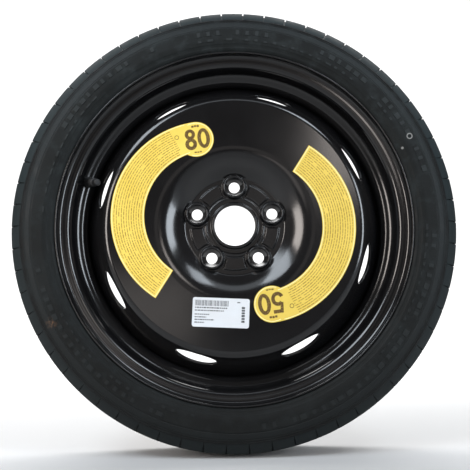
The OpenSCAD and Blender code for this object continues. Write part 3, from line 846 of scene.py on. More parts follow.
def bead_and_inside(shape, rim):
    """Points down the flange's face and along the seat to the toe, then up the hidden inner skin."""
    corner_h = shape.half_rim - BEAD_GAP
    toe_reach = rim.seat_w / MM - TOE_INSET
    toe_h = shape.half_rim - rim.seat_w / MM + TOE_INSET
    toe = np.array([shape.seat - toe_reach * math.tan(SEAT_TAPER) + BEAD_GAP, toe_h])
    over_flange = np.array([shape.flange_r + BEAD_GAP, corner_h])
    at_seat = np.array([shape.seat, corner_h])
    face = bend(shape.lift_off, over_flange, at_seat, rim.flange_bend / MM + BEAD_GAP, math.radians(20))
    at_flange = np.array([shape.flange_r, corner_h])
    heel = bend(at_flange, at_seat + [BEAD_GAP, 0], toe, HEEL_BEND, math.radians(25))
    wide_r = shape.widest[0]
    # The inner skin is out of sight, so a few given points will do
    inside = [
        toe, toe + [4, 0], [shape.seat + 9, toe_h + 6], [shape.seat + 22, 50], [wide_r - 10, 56.5],
        [wide_r + 6, 56], [wide_r + 18, 50], [301.5, 38], [304.5, 20], [305.5, 0],
    ]
    return np.concatenate([[c[0] for c in face + heel], inside])


def make_tyre():
    scene = bpy.context.scene
    tyre = scene.spare_tyre
    shape = TyreShape(tyre, scene.spare_rim)
    skin, floor = tyre_rows(shape, tyre)
    flip = np.array([1.0, -1.0])
    side = np.concatenate([sidewall(shape, skin[-1][0]), bead_and_inside(shape, scene.spare_rim)])
    plain = np.concatenate([(skin * flip)[::-1], skin[1:]])
    slot_out = np.concatenate([(skin * flip)[::-1], floor[1:]])
    slot_in = np.concatenate([(floor * flip)[::-1], skin[1:]])
    step = TURN / tyre.slot_count
    half = tyre.slot_w / MM / 2 / shape.r
    steep = SLOT_SIDE / shape.r
    angles = []
    rows = []
    for k in range(tyre.slot_count):
        # Slots of the two shoulders take turns
        for start, slotted in ((k * step, slot_out), ((k + 0.5) * step, slot_in)):
            angles += [start - half - steep, start - half, start + half, start + half + steep]
            angles += [start + step / 6, start + step / 3]
            rows += [plain, slotted, slotted, plain, plain, plain]
    angles = np.array(angles)
    tread = np.stack([turn_about_axle(r, np.array([a]))[:, 0] for a, r in zip(angles, rows)], axis=1)
    rubber = tyre_finish(tyre, "tyre_rubber", 0.0)
    raised_dust_and_highlight = tyre_finish(tyre, "tyre_rubber_raised_dust_and_highlight", BLOCK_DUST_AND_HIGHLIGHT)
    tread_mesh = plain_mesh("tyre_tread", tread, ring_faces(*tread.shape[:2]), CREASE)
    place("tyre_tread", tread_mesh, WHEEL, rubber, "tyre_rubber", "tyre")
    near, near_raised = raise_blocks(turn_about_axle(side, angles), side, True)
    far, far_raised = raise_blocks(turn_about_axle(side * flip, angles), side, False)
    for name, places, raised in (
        ("tyre_wall_outboard", near, near_raised),
        ("tyre_wall_inboard", far[::-1], far_raised[::-1]),
    ):
        mesh = plain_mesh(name, places, ring_faces(*places.shape[:2]), CREASE)
        place(name, mesh, WHEEL, rubber, "tyre_rubber")
        mesh.materials.append(raised_dust_and_highlight)
        # A face whose four corners are raised is a block's top
        top = raised & np.roll(raised, -1, axis=1)
        top = top[:-1] & top[1:]
        mesh.polygons.foreach_set("material_index", top.astype(np.int32).ravel())


class MakeTyre(BuildStep, bpy.types.Operator):
    """Builds the tyre's skin with its tread, slots and sidewall lines"""

    bl_idname = "spare_wheel.make_tyre"
    bl_label = "Tyre"
    build = staticmethod(make_tyre)


# Rim

RIM_COLUMNS = 240
WELL_BEND = 5.0
HUMP_BEND = 4.0
SEAT_BEND = 6.5
HUMP_W = 4  # from the hump's top to the end of the bead seat
LIP_POINTS = 11  # points round the sheet's edge
SLOPE_LEAD = 4  # how far inside the well the outboard slope starts
SLOPE_TOP = 0.5  # how far under the bead seat it ends
SLOPE_EASE = 1.0  # how far the outboard slope is pressed off a straight line


def rim_path(rim):
    """Corners of the rim's outer face from lip to lip, as (radius, height, bend radius)."""
    seat = rim.seat_d / 2 / MM
    half = rim.width / 2 / MM
    flange_r = seat + rim.flange_h / MM
    hump_at = half - rim.seat_w / MM
    hump_r = seat - rim.seat_w / MM * math.tan(SEAT_TAPER)
    halfway = [
        (seat - rim.well_depth / MM, rim.well_w / 2 / MM, WELL_BEND),
        (hump_r + rim.hump_h / MM, hump_at - HUMP_W, HUMP_BEND),
        (hump_r, hump_at, HUMP_BEND),
        (seat, half, SEAT_BEND),
        (flange_r, half, rim.flange_bend / MM),
        (flange_r, half + rim.lip_w / MM, 0.0),
    ]
    return [(r, -h, b) for r, h, b in reversed(halfway)] + halfway


def make_rim():
    rim = bpy.context.scene.spare_rim
    sheet = rim.sheet / MM
    near, left = rounded(rim_path(rim), math.radians(6), 2.0)
    far = near + sheet * left
    # The outboard slope down to the well is pressed flatter in its middle than at its ends
    low_r = (rim.seat_d / 2 - rim.well_depth) / MM
    high_r = rim.seat_d / 2 / MM - SLOPE_TOP
    across = (near[:, 0] - low_r) / (high_r - low_r)
    slope_end = (rim.width / 2 - rim.seat_w) / MM
    on_slope = (near[:, 1] > rim.well_w / 2 / MM - SLOPE_LEAD) & (near[:, 1] < slope_end)
    shift = np.where(on_slope, SLOPE_EASE * np.sin(TURN * np.clip(across, 0, 1)), 0.0)
    near[:, 1] += shift
    far[:, 1] += shift
    eased = outward(near)
    eased *= np.sign((eased * left).sum(axis=1, keepdims=True))
    left = np.where(on_slope[:, None], eased, left)
    angles = TURN * np.arange(RIM_COLUMNS) / RIM_COLUMNS
    made = Patchwork()
    made.add_ring(near, -left, angles)
    made.add_ring(far, left, angles)
    # Half a turn round the sheet's edge closes each lip
    turn = np.linspace(0, math.pi, LIP_POINTS)
    for end, way in ((-1, 1.0), (0, -1.0)):
        out = np.stack([np.cos(turn), way * np.sin(turn)], axis=1)
        made.add_ring((near[end] + far[end]) / 2 + sheet / 2 * out, out, angles)
    made.build("rim_sheet", WHEEL, enamel_finish(), "black_enamel", "rim")


class MakeRim(BuildStep, bpy.types.Operator):
    """Builds the rolled rim with rounded lips"""

    bl_idname = "spare_wheel.make_rim"
    bl_label = "Rim"
    build = staticmethod(make_rim)


# Disc

HUB_START = 30.0  # radius where the disc's path starts, under the collar
HUB_IN = 37.0  # the hub is meshed round its bolt holes between these radii
HUB_OUT = 80.0
HUB_FACE = 120  # the hub and the bowl lie inside this radius
RECESS_BEND = 5
CROWN_BEND = 44
SHOULDER_BEND = 14
FOOT_BEND = 8
DISC_GAP = 0.05  # air between the disc's flange and the rim
BOSS_FLARE = 3.0  # how far a boss widens down to its foot
BOSS_FOOT = 2  # how far that foot lies under the recess
BOSS_BLEND = 2.4  # widths over which the bosses' tops, their feet and the bolt seats are rounded
FOOT_BLEND = 1.6
SEAT_BLEND = 1.5
SEAT_ANGLE = math.radians(30)  # between a conical bolt seat and its axis
SEAT_ZONE = 24
PAD_H = 2.0
PAD_INSET = (11.3, 6.3)  # distances of a pad from the collar and from the recess's edge
PAD_RAMP = 1.7
PAD_CLEAR = 3  # distance of a pad from the bosses beside it
PAD_TRIM = math.radians(4)
BEAD_R = 40.6  # a fine bead round the collar
BEAD_H = 0.55
REAR_GROOVE = (11.6, 16.3)  # radii of the groove behind a boss
REAR_GROOVE_DEPTH = 5.5
REAR_RAMP = 1.6
REAR_BLEND = 0.6
REAR_PAD_INSET = (13.4, 8.4)
REAR_PAD_RAMP = 1.2
REAR_PAD_TRIM = math.radians(8)
HOLE_POINTS = 96
BOSS_ZONE = 21.0  # radius round a bolt hole that is meshed in rings of its own
BOSS_SPACING = 0.6  # spacing of these rings, as a share of the others'
FRONT_SPACING = 1.2
REAR_SPACING = 2.2
HUB_CLEAR = 0.4  # points keep this far from the hub's edges
EDGE_CLEAR = 0.2  # and this far from other edges
INSIDE = 0.9995  # just inside an edge, as a share
BEAD_HALF = 1.5  # half width of the bead round the bosses, with its slope
COLLAR_FOOT_BEND = 2.6
COLLAR_TOP_BEND = 1.7
COLLAR_REAR_BEND = 6.5
CREASE_RINGS = np.arange(-1.5, 1.6, 0.3)  # close rings over the crease round the recess
CREASE_SHIFT = 0.07
SLOPE_STEP = 0.05  # distance over which the hub's slopes are measured


class DiscShape:
    """Front and rear surfaces of the disc, as heights over the middle of the rim."""

    def __init__(self, disc, rim):
        self.t = disc.sheet / MM
        self.offset = disc.offset / MM
        self.hub_h = self.offset + self.t
        self.face_h = disc.face_h / MM
        self.bore = disc.bore_d / 2 / MM
        self.collar_r = self.bore + self.t
        self.collar_top = self.offset + disc.collar_h / MM
        self.recess_r = disc.recess_r / MM
        self.shoulder_r = disc.shoulder_r / MM
        self.disc_r = (rim.seat_d / 2 - rim.well_depth - rim.sheet) / MM - DISC_GAP
        self.wall_foot = disc.wall_foot / MM
        self.reach = disc.flange_reach / MM
        self.hole = disc.bolt_hole / 2 / MM
        self.seat = disc.bolt_seat / 2 / MM
        self.boss_top = self.offset + disc.boss_h / MM
        self.boss_r = disc.boss_d / 2 / MM
        self.gap = TURN / disc.bolt_count
        bolt_r = disc.bolt_circle / 2 / MM
        self.bolts = bolt_r * on_circle(math.pi / 2 + TURN * np.arange(disc.bolt_count) / disc.bolt_count)
        self.pad_angle = self.gap - 2 * math.asin((self.boss_r + PAD_CLEAR) / bolt_r) - PAD_TRIM
        path = [
            (HUB_START, self.hub_h, 0),
            (self.recess_r, self.hub_h, RECESS_BEND),
            (disc.crown_r / MM, self.face_h, CROWN_BEND),
            (self.shoulder_r, self.face_h, SHOULDER_BEND),
            (self.disc_r, self.wall_foot, FOOT_BEND),
            (self.disc_r, -self.reach, 0),
        ]
        self.front, self.out = rounded(path, math.radians(4), 5.0)
        self.rear = self.front - self.t * self.out
        lean = math.atan((self.disc_r - self.shoulder_r) / (self.face_h - self.wall_foot))
        self.wall_top = np.array([self.shoulder_r, self.face_h])
        self.wall = np.array([math.sin(lean), -math.cos(lean)])
        self.wall_out = np.array([math.cos(lean), math.sin(lean)])

    def bolt_distance(self, x, z):
        """Distance to the nearest bolt's axis."""
        d = np.hypot(x[..., None] - self.bolts[:, 0], z[..., None] - self.bolts[:, 1])
        return d.min(axis=-1)

    def hole_edges(self):
        """Points round each bolt hole."""
        ring = self.hole * on_circle(TURN * np.arange(HOLE_POINTS) / HOLE_POINTS)
        return [bolt + ring for bolt in self.bolts]

    def pads(self, x, z, inset, angle, ramp):
        """1 on the pads between the bosses, 0 off them."""
        r = np.hypot(x, z)
        inner = self.collar_r + inset[0]
        outer = self.recess_r - inset[1]
        off = np.abs((np.arctan2(z, x) - math.pi / 2) % self.gap - self.gap / 2)
        between = smoothstep((r - inner) / ramp) * smoothstep((outer - r) / ramp)
        return between * smoothstep((angle / 2 - off) * r / ramp + 0.5)

    def front_h(self, x, z):
        r = np.hypot(x, z)
        d = self.bolt_distance(x, z)
        base = self.front_of(r) + PAD_H * self.pads(x, z, PAD_INSET, self.pad_angle, PAD_RAMP)
        base = base + BEAD_H * smoothstep(BEAD_HALF - np.abs(r - BEAD_R))
        side = self.boss_top - (d - self.boss_r) * (self.boss_top - self.hub_h + BOSS_FOOT) / BOSS_FLARE
        boss = soft_min(np.full_like(r, self.boss_top), side, BOSS_BLEND)
        h = soft_max(base, boss, FOOT_BLEND)
        seat = self.boss_top - (self.seat - d) / math.tan(SEAT_ANGLE)
        return np.where(d < SEAT_ZONE, soft_min(h, seat, SEAT_BLEND), h)

    def rear_h(self, x, z):
        d = self.bolt_distance(x, z)
        start, stop = REAR_GROOVE
        groove = REAR_GROOVE_DEPTH * smoothstep((d - start) / REAR_RAMP) * smoothstep((stop - d) / REAR_RAMP)
        pocket = PAD_H * self.pads(x, z, REAR_PAD_INSET, self.pad_angle - REAR_PAD_TRIM, REAR_PAD_RAMP)
        raised = soft_max(self.rear_of(np.hypot(x, z)), self.offset + groove, REAR_BLEND)
        return soft_max(raised, self.offset + pocket, REAR_BLEND)

    def front_of(self, r):
        """Front height at a radius, without bosses and pads."""
        keep = self.front[:, 0] < HUB_FACE
        return np.interp(r, self.front[keep, 0], self.front[keep, 1])

    def rear_of(self, r):
        keep = self.rear[:, 0] < HUB_FACE
        return np.interp(r, self.rear[keep, 0], self.rear[keep, 1])


def add_hub(made, shape, height, facing, spacing):
    """Meshes one side of the hub round its bolt holes, with points about a spacing apart."""
    points = []
    edges = []
    for ring in [HUB_IN * on_circle(RINGS), HUB_OUT * on_circle(RINGS)] + shape.hole_edges():
        edges += closed_edges(len(points), len(ring))
        points += ring.tolist()
    # Rings round each bolt hole, then rings round the axle outside them, close over the recess's crease
    close = BOSS_SPACING * spacing
    for k, d in enumerate(np.arange(shape.hole + close, BOSS_ZONE, close)):
        turned_by = (k % 2) * TURN / (2 * HOLE_POINTS)
        ring = d * on_circle(TURN * np.arange(HOLE_POINTS) / HOLE_POINTS + turned_by)
        for bolt in shape.bolts:
            spread = bolt + ring
            r = np.hypot(spread[:, 0], spread[:, 1])
            points += spread[(r > HUB_IN + HUB_CLEAR) & (r < HUB_OUT - HUB_CLEAR)].tolist()
    rings = []
    for k, r in enumerate(np.arange(HUB_IN + spacing, HUB_OUT - HUB_CLEAR, spacing)):
        rings.append(r * on_circle(RINGS + (k % 2) * math.pi / RING))
    for r in shape.recess_r + CREASE_RINGS:
        rings.append((r + CREASE_SHIFT) * on_circle(RINGS))
    for ring in rings:
        points += ring[shape.bolt_distance(ring[:, 0], ring[:, 1]) > BOSS_ZONE + EDGE_CLEAR].tolist()
    flat, triangles, middles = triangulate(points, edges)
    r = np.hypot(middles[:, 0], middles[:, 1])
    in_hub = (r > HUB_IN * math.cos(math.pi / RING)) & (r < HUB_OUT)
    off_holes = shape.bolt_distance(middles[:, 0], middles[:, 1]) > shape.hole * INSIDE
    x = flat[:, 0]
    z = flat[:, 1]
    e = SLOPE_STEP
    h = height(x, z)
    dx = (height(x + e, z) - height(x - e, z)) / (2 * e)
    dz = (height(x, z + e) - height(x, z - e)) / (2 * e)
    places = np.stack([x, -h, z], axis=1)
    normals = facing * np.stack([-dx, -np.ones_like(h), -dz], axis=1)
    made.add(places, normals, triangles[in_hub & off_holes].tolist())


def add_bolt_walls(made, shape):
    """Meshes the walls of the bolt holes."""
    for bolt, ring in zip(shape.bolts, shape.hole_edges()):
        x = ring[:, 0]
        z = ring[:, 1]
        heights = (shape.front_h(x, z), shape.rear_h(x, z))
        places = np.stack([np.stack([x, -h, z], axis=1) for h in heights])
        inward = np.stack([bolt[0] - x, 0 * x, bolt[1] - z], axis=1) / shape.hole
        made.add_grid(places, np.stack([inward, inward]))


VENT_NEAR = 5.9  # the vents' band, in millimetres down the outer wall from its top
VENT_FAR = 37.0
VENT_MIDDLE = 0.34  # share of the outer wall above a vent's middle
VENT_POINTS = 100
VENT_ROWS = 12
VENT_ROLL = 0.9  # radius of a vent's rounded edge
VENT_RINGS = (0.07, 0.2, 0.4, 0.65, VENT_ROLL, 1.6, 3.2)  # distances of the rings of points round a vent
VENT_MARGIN = 4.5  # the band's plain points keep this far from a vent
VENT_CLEAR = 0.3  # the rings of points keep this far from the band's edges


class VentBand:
    """The outer wall's band with its oval vents. Flat points are (along the band, down the wall)."""

    def __init__(self, shape, disc):
        self.shape = shape
        run = [shape.disc_r - shape.shoulder_r, shape.wall_foot - shape.face_h]
        self.middle_s = VENT_MIDDLE * np.linalg.norm(run)
        self.middle_r = shape.shoulder_r + self.middle_s * shape.wall[0]
        self.half_l = disc.vent_l / 2 / MM
        self.half_w = disc.vent_w / 2 / MM
        self.count = disc.vent_count
        self.first = disc.vent_angle
        self.sector = TURN / self.count

    def oval(self, reach):
        """Points round a vent's edge, moved outwards by a reach."""
        fine = TURN * np.arange(VENT_POINTS) / VENT_POINTS
        along = (self.half_l + reach) * np.cos(fine)
        return np.stack([along, self.middle_s + (self.half_w + reach) * np.sin(fine)], axis=1)

    def spread(self, u, s, margin=0.0):
        """Below 1 inside a vent widened by a margin, above 1 outside it."""
        return (u / (self.half_l + margin)) ** 2 + ((s - self.middle_s) / (self.half_w + margin)) ** 2

    def inward(self, flat):
        """Directions from flat points into the vent."""
        along = flat[:, 0] / self.half_l ** 2
        towards = np.stack([along, (flat[:, 1] - self.middle_s) / self.half_w ** 2], axis=1)
        return -towards / np.maximum(np.linalg.norm(towards, axis=1, keepdims=True), 1e-9)

    def pattern(self):
        """Flat points and triangles of one vent's sector of the band."""
        half = self.sector * self.middle_r / 2
        rows = np.arange(VENT_NEAR, VENT_FAR + 1e-6, (VENT_FAR - VENT_NEAR) / VENT_ROWS)
        across = np.linspace(-half, half, RING // self.count + 1)
        points = [(u, VENT_NEAR) for u in across] + [(half, s) for s in rows[1:-1]]
        points += [(u, VENT_FAR) for u in across[::-1]] + [(-half, s) for s in rows[-2:0:-1]]
        edges = closed_edges(0, len(points)) + closed_edges(len(points), VENT_POINTS)
        points += self.oval(0).tolist()
        for reach in VENT_RINGS:
            ring = self.oval(reach)
            s = ring[:, 1]
            points += ring[(s > VENT_NEAR + VENT_CLEAR) & (s < VENT_FAR - VENT_CLEAR)].tolist()
        for s in rows[1:-1]:
            points += [(u, s) for u in across[1:-1] if self.spread(u, s, VENT_MARGIN) > 1]
        flat, triangles, middles = triangulate(points, edges)
        return flat, triangles[self.spread(middles[:, 0], middles[:, 1]) > INSIDE].tolist()

    def lay(self, flat, depth, lean, way, centre):
        """World places and normals of flat points, at a depth under the wall's front."""
        wall = self.shape.wall
        out = self.shape.wall_out
        inward = self.inward(flat)
        profile = self.shape.wall_top + flat[:, 1][:, None] * wall - depth[:, None] * out
        a = centre + flat[:, 0] / self.middle_r
        c = np.cos(a)
        s = np.sin(a)
        face_on = way * np.sqrt(np.maximum(1 - lean ** 2, 0))
        nr = face_on * out[0] + lean * inward[:, 1] * wall[0]
        nh = face_on * out[1] + lean * inward[:, 1] * wall[1]
        nt = lean * inward[:, 0]
        places = np.stack([profile[:, 0] * c, -profile[:, 1], profile[:, 0] * s], axis=1)
        normals = np.stack([nr * c - nt * s, -nh, nr * s + nt * c], axis=1)
        return places, normals

    def add_to(self, made):
        """Meshes every sector: its front, its rear and the wall of its vent."""
        flat, triangles = self.pattern()
        # The sheet's faces sink and lean into the vent over its rounded edge
        size = np.hypot(flat[:, 0], flat[:, 1] - self.middle_s)
        reach = np.sqrt(self.spread(flat[:, 0], flat[:, 1]))
        gap = np.clip(size * (1 - 1 / np.maximum(reach, 1e-6)), 0, VENT_ROLL)
        sink = VENT_ROLL - np.sqrt(np.maximum(VENT_ROLL ** 2 - (VENT_ROLL - gap) ** 2, 0))
        tilt = np.clip((VENT_ROLL - gap) / VENT_ROLL, 0, 1)
        tilt[gap >= VENT_ROLL] = 0
        thickness = self.shape.t
        edge = self.oval(0)
        one = np.ones(len(edge))
        for k in range(self.count):
            centre = self.first + k * self.sector
            made.add(*self.lay(flat, sink, tilt, 1.0, centre), triangles)
            made.add(*self.lay(flat, thickness - sink, tilt, -1.0, centre), triangles)
            front = self.lay(edge, VENT_ROLL * one, one, 1.0, centre)
            rear = self.lay(edge, (thickness - VENT_ROLL) * one, one, 1.0, centre)
            made.add_grid(np.stack([front[0], rear[0]]), np.stack([front[1], rear[1]]))


def make_disc():
    scene = bpy.context.scene
    shape = DiscShape(scene.spare_disc, scene.spare_rim)
    made = Patchwork()
    # Collar, from the front plane over its rounded top and through the bore to the mounting face
    collar = [
        (HUB_IN, shape.hub_h, 0),
        (shape.collar_r, shape.hub_h, COLLAR_FOOT_BEND),
        (shape.collar_r, shape.collar_top, COLLAR_TOP_BEND),
        (shape.bore, shape.collar_top, COLLAR_TOP_BEND),
        (shape.bore, shape.offset, COLLAR_REAR_BEND),
        (HUB_IN, shape.offset, 0),
    ]
    points, left = rounded(collar, math.radians(8), 2.0)
    made.add_ring(points, -left)
    add_hub(made, shape, shape.front_h, 1.0, FRONT_SPACING)
    add_hub(made, shape, shape.rear_h, -1.0, REAR_SPACING)
    add_bolt_walls(made, shape)
    # Rings outside the hub, split at the vents' band
    for side, way, height, depth in (
        (shape.front, 1.0, shape.front_of, 0.0),
        (shape.rear, -1.0, shape.rear_of, shape.t),
    ):
        start = shape.wall_top + VENT_NEAR * shape.wall - depth * shape.wall_out
        stop = shape.wall_top + VENT_FAR * shape.wall - depth * shape.wall_out
        hub = [HUB_OUT, height(HUB_OUT)]
        drop = height(HUB_OUT - SLOPE_STEP) - height(HUB_OUT + SLOPE_STEP)
        hub_out = unit(np.array([drop, 2 * SLOPE_STEP]))
        face = (side[:, 0] > HUB_OUT + EDGE_CLEAR) & (side[:, 1] > start[1] + EDGE_CLEAR)
        inner_out = np.concatenate([[hub_out], shape.out[face], [shape.wall_out]])
        made.add_ring(np.concatenate([[hub], side[face], [start]]), way * inner_out)
        low = side[:, 1] < stop[1] - EDGE_CLEAR
        outer_out = np.concatenate([[shape.wall_out], shape.out[low]])
        made.add_ring(np.concatenate([[stop], side[low]]), way * outer_out)
    VentBand(shape, scene.spare_disc).add_to(made)
    made.add_ring(np.array([shape.front[-1], shape.rear[-1]]), np.array([[0, -1.0], [0, -1.0]]))
    made.build("disc_sheet", WHEEL, enamel_finish(), "black_enamel", "disc")


class MakeDisc(BuildStep, bpy.types.Operator):
    """Builds the pressed disc with its bosses, seats and vents"""

    bl_idname = "spare_wheel.make_disc"
    bl_label = "Disc"
    build = staticmethod(make_disc)


# Weld seams

WELD_SEAMS = 4
WELD_ARC = math.radians(62)
WELD_LEG = 3.4
WELD_SINK = 0.1  # how far the bead's edges reach into the steel
WELD_STEPS = 260
WELD_AROUND = 10
WELD_RIPPLES = 58
WELD_RIPPLE = 0.07  # depth of a ripple, as a share of the bead
WELD_END = 0.25  # size of the bead at its ends, as a share
WELD_SWELL = 12  # how fast it swells from them
WELD_DRIFT = (0.8, 9)  # size and pace of the ripples' unevenness
WELD_ROUND = 0.98  # the bead's round face over its leg


def make_weld_seams():
    scene = bpy.context.scene
    shape = DiscShape(scene.spare_disc, scene.spare_rim)
    places = []
    faces = []
    ring = WELD_AROUND + 1
    for k in range(WELD_SEAMS):
        start = len(places)
        middle = math.pi / 4 + k * TURN / WELD_SEAMS
        for i in range(WELD_STEPS + 1):
            s = i / WELD_STEPS
            a = middle + WELD_ARC * (s - 0.5)
            # The bead swells from its ends and ripples along its length
            end = min(1.0, WELD_SWELL * min(s, 1 - s)) ** 0.5
            drift = WELD_DRIFT[0] * math.sin(WELD_DRIFT[1] * s)
            ripple = 1.0 + WELD_RIPPLE * math.sin(TURN * s * WELD_RIPPLES + drift)
            size = WELD_LEG * (WELD_END + (1 - WELD_END) * end) * ripple
            for j in range(WELD_AROUND):
                t = math.pi / 2 * j / (WELD_AROUND - 1)
                into_wall = WELD_SINK if j == 0 else 0
                into_disc = WELD_SINK if j == WELD_AROUND - 1 else 0
                r = shape.disc_r - size * math.cos(t) * WELD_ROUND + into_disc
                h = -shape.reach - size * math.sin(t) * WELD_ROUND + into_wall
                places.append((r * math.cos(a), -h, r * math.sin(a)))
            places.append((shape.disc_r * math.cos(a), shape.reach, shape.disc_r * math.sin(a)))
        faces += [tuple(start + v for v in face) for face in ring_faces(WELD_STEPS + 1, ring)]
        faces.append(tuple(start + j for j in range(ring))[::-1])
        faces.append(tuple(start + WELD_STEPS * ring + j for j in range(ring)))
    mesh = plain_mesh("weld_beads", places, faces, 60)
    place("weld_beads", mesh, WHEEL, weld_finish(), "weld_metal", "weld_seams")


class MakeWeldSeams(BuildStep, bpy.types.Operator):
    """Builds the rippled weld seams behind the disc"""

    bl_idname = "spare_wheel.make_weld_seams"
    bl_label = "Weld seams"
    build = staticmethod(make_weld_seams)


# Valve

STEM_BORE = 2.95  # radius of the rubber's hole for the stem
THREAD_GAP = 0.05
CAP_FOOT = 0.3  # air between the rubber and the cap
CAP_TOP = 1.6  # thickness of the cap's top
CAP_POINT = 0.02  # the cap's top starts this near its axis
CAP_RIBS = 20
RIB_DEPTH = 0.32


def valve_frame(valve, rim):
    """World matrix in millimetres of the valve's own frame: Z along the stem, origin on the rim."""
    path = rim_path(rim)
    well = np.array(path[6][:2])
    hump = np.array(path[7][:2])
    run = hump - well
    lean = math.atan2(run[1], run[0])
    foot = well + run / 2 + rim.sheet / MM * np.array([-math.sin(lean), math.cos(lean)])
    return (
        Matrix.Rotation(math.pi / 2, 4, "X")
        @ Matrix.Rotation(valve.place, 4, "Z")
        @ Matrix.Translation((foot[0], 0, foot[1]))
        @ Matrix.Rotation(-lean, 4, "Y")
    )


def no_ripple(a, r, z):
    return 0.0


def turned(world, profile, columns, ripple=no_ripple):
    """Places and faces of a closed (radius, height) profile turned about the valve's axis, less a ripple."""
    places = []
    for r, z in profile:
        for j in range(columns):
            a = TURN * j / columns
            rr = max(r - ripple(a, r, z), 0.0)
            places.append(tuple(world @ Vector((rr * math.cos(a), rr * math.sin(a), z))))
    return places, ring_faces(len(profile), columns, joined=True)


def make_valve_body(world, valve, rim, material):
    body = valve.body_d / 2 / MM
    hole = valve.hole_d / 2 / MM
    top = valve.body_l / MM
    wide = valve.thread_d / 2 / MM + THREAD_GAP
    # Heights of the foot and the flange inside the rim are counted from the sheet's inner face
    inner = -rim.sheet / MM
    outline = [
        (STEM_BORE, inner - 7.5), (hole - 0.6, inner - 7.5), (hole, inner - 7.1), (hole + 1.5, inner - 4.6),
        (hole + 2.3, inner - 3.0), (hole + 2.35, inner - 0.6), (hole + 2.1, inner - 0.06),
        (hole - 0.05, inner - 0.05), (hole - 0.05, 0.05), (hole + 2.0, 0.06), (hole + 2.3, 0.35),
        (hole + 2.2, 1.2), (hole + 1.9, 2.4), (hole + 1.3, 4.0), (body + 0.75, 5.8), (body + 0.35, 7.6),
        (body + 0.08, 9.2), (body, 10.4), (body, 13.8), (body - 0.35, 14.1), (body - 0.35, 14.9),
        (body, 15.2), (body, top - 2.0), (body - 0.2, top - 1.1), (body - 0.7, top - 0.3),
        (body - 1.2, top), (wide, top), (wide, 14.0), (STEM_BORE, 13.0),
    ]
    places, faces = turned(world, outline, 64)
    mesh = plain_mesh("valve_body", places, faces, 40)
    place("valve_body", mesh, WHEEL, material, "valve_rubber", "valve_rubber")


def make_cap(world, valve, material):
    foot = valve.body_l / MM + CAP_FOOT
    top = (valve.body_l + valve.stem_tip) / MM + 1 + CAP_TOP + THREAD_GAP
    inside = valve.thread_d / 2 / MM + 0.12
    r = valve.cap_d / 2 / MM
    cap = [
        (inside, foot), (r - 0.25, foot), (r, foot + 0.25), (r, foot + 0.9), (r - 0.02, foot + 1.0),
        (r - 0.02, top - 2.0), (r - 0.1, top - 1.6), (r - 0.45, top - 0.9), (r - 1.0, top - 0.35),
        (r - 1.7, top - 0.1), (r - 2.6, top - 0.03), (CAP_POINT, top), (CAP_POINT, top - CAP_TOP),
        (inside, top - CAP_TOP),
    ]
    # The ribbed wall gets rows between its ends
    dense = []
    for i, corner in enumerate(cap):
        a = np.array(corner)
        b = np.array(cap[(i + 1) % len(cap)])
        count = 6 if abs(b[1] - a[1]) > 3 and a[0] > inside + 0.2 else 1
        dense += [tuple(a + (b - a) * k / count) for k in range(count)]

    def ribs(a, r, z):
        if r <= inside + 0.3:
            return 0.0
        fade = smoothstep((z - foot - 0.9) / 0.5) * smoothstep((top - 1.5 - z) / 0.7)
        return RIB_DEPTH * fade * (0.5 - 0.5 * math.cos(CAP_RIBS * a)) ** 0.6

    places, faces = turned(world, dense, 160, ribs)
    place("cap_shell", plain_mesh("cap_shell", places, faces, 50), CAP, material, "cap_plastic", "valve_cap")


def make_valve():
    scene = bpy.context.scene
    valve = scene.spare_valve
    world = valve_frame(valve, scene.spare_rim)
    make_valve_body(world, valve, scene.spare_rim, rubber_finish("valve_rubber", tuple(valve.rubber)))
    make_cap(world, valve, rubber_finish("cap_plastic", tuple(valve.plastic)))
    brass = metal_finish("brass", tuple(valve.brass), 0.24)
    steel = metal_finish("bright_steel", tuple(valve.steel), 0.2)
    seal = rubber_finish("red_seal", tuple(valve.seal))
    black = rubber_finish("black_seal", tuple(valve.rubber))
    for node, material in (
        ("valve_stem", brass), ("valve_core", brass), ("core_gasket", seal), ("core_pin", steel),
        ("pin_seal", black), ("core_spring", steel), ("cap_seal", black),
    ):
        dress(node, material)


class MakeValve(BuildStep, bpy.types.Operator):
    """Builds the valve's rubber body and ribbed cap and finishes its stem and core"""

    bl_idname = "spare_wheel.make_valve"
    bl_label = "Valve"
    build = staticmethod(make_valve)


# Labels. Flat shapes are in millimetres, seen from outboard, and lie on the disc's face.

LABEL_SHIFT = np.array([-2.0, 5.1])
BAND_CENTRE = np.array([-35.4, 7.6])
BAND_FROM = math.radians(98.4)
BAND_TO = math.radians(237.5)
INK_GAP = 0.004  # between a label and the ink's underside
INK_T = 0.03
INK_STEP = 0.003  # difference in height between strips that may cross
BORDER_INSET = 1.5
BORDER_HALF = 0.4
HEAD_BORDER = (1.9, 1.1)  # insets of the border's edges round the head
HEAD_FROM = math.radians(-104)
HEAD_TO = math.radians(120)
FINE_ROWS = 12
FINE_INSET = 4.4
DIGIT_TILT = math.radians(7.5)
DIGIT_STEP = 9.3  # from the middle of a number to the middle of each digit
DIGITS_80 = np.array([-49.8, 117.0])
DIGITS_50 = np.array([-50.2, 115.6])
SHORT_BARS = (  # bars over and under the digits, as (across, up, width, height)
    (-4.2, 18.6, 3.2, 3.0),
    (-0.4, 18.9, 3.0, 3.0),
    (3.4, 18.6, 3.2, 3.0),
    (-4.6, -18.9, 3.0, 1.9),
    (-0.8, -19.2, 2.6, 1.9),
    (2.8, -18.9, 2.8, 1.9),
)
PARTS_AT = np.array([-20.9, -122.3])
PARTS_TILT = math.radians(-2.9)
TOP_BARS = (-35.5, 10.5)  # start and end of the upright bars
TOP_BARS_AT = 12.6
TOP_BARS_H = 7.6
SIDE_BLOCKS = (-12.5, 9.0)  # start and end of the blocks at the right
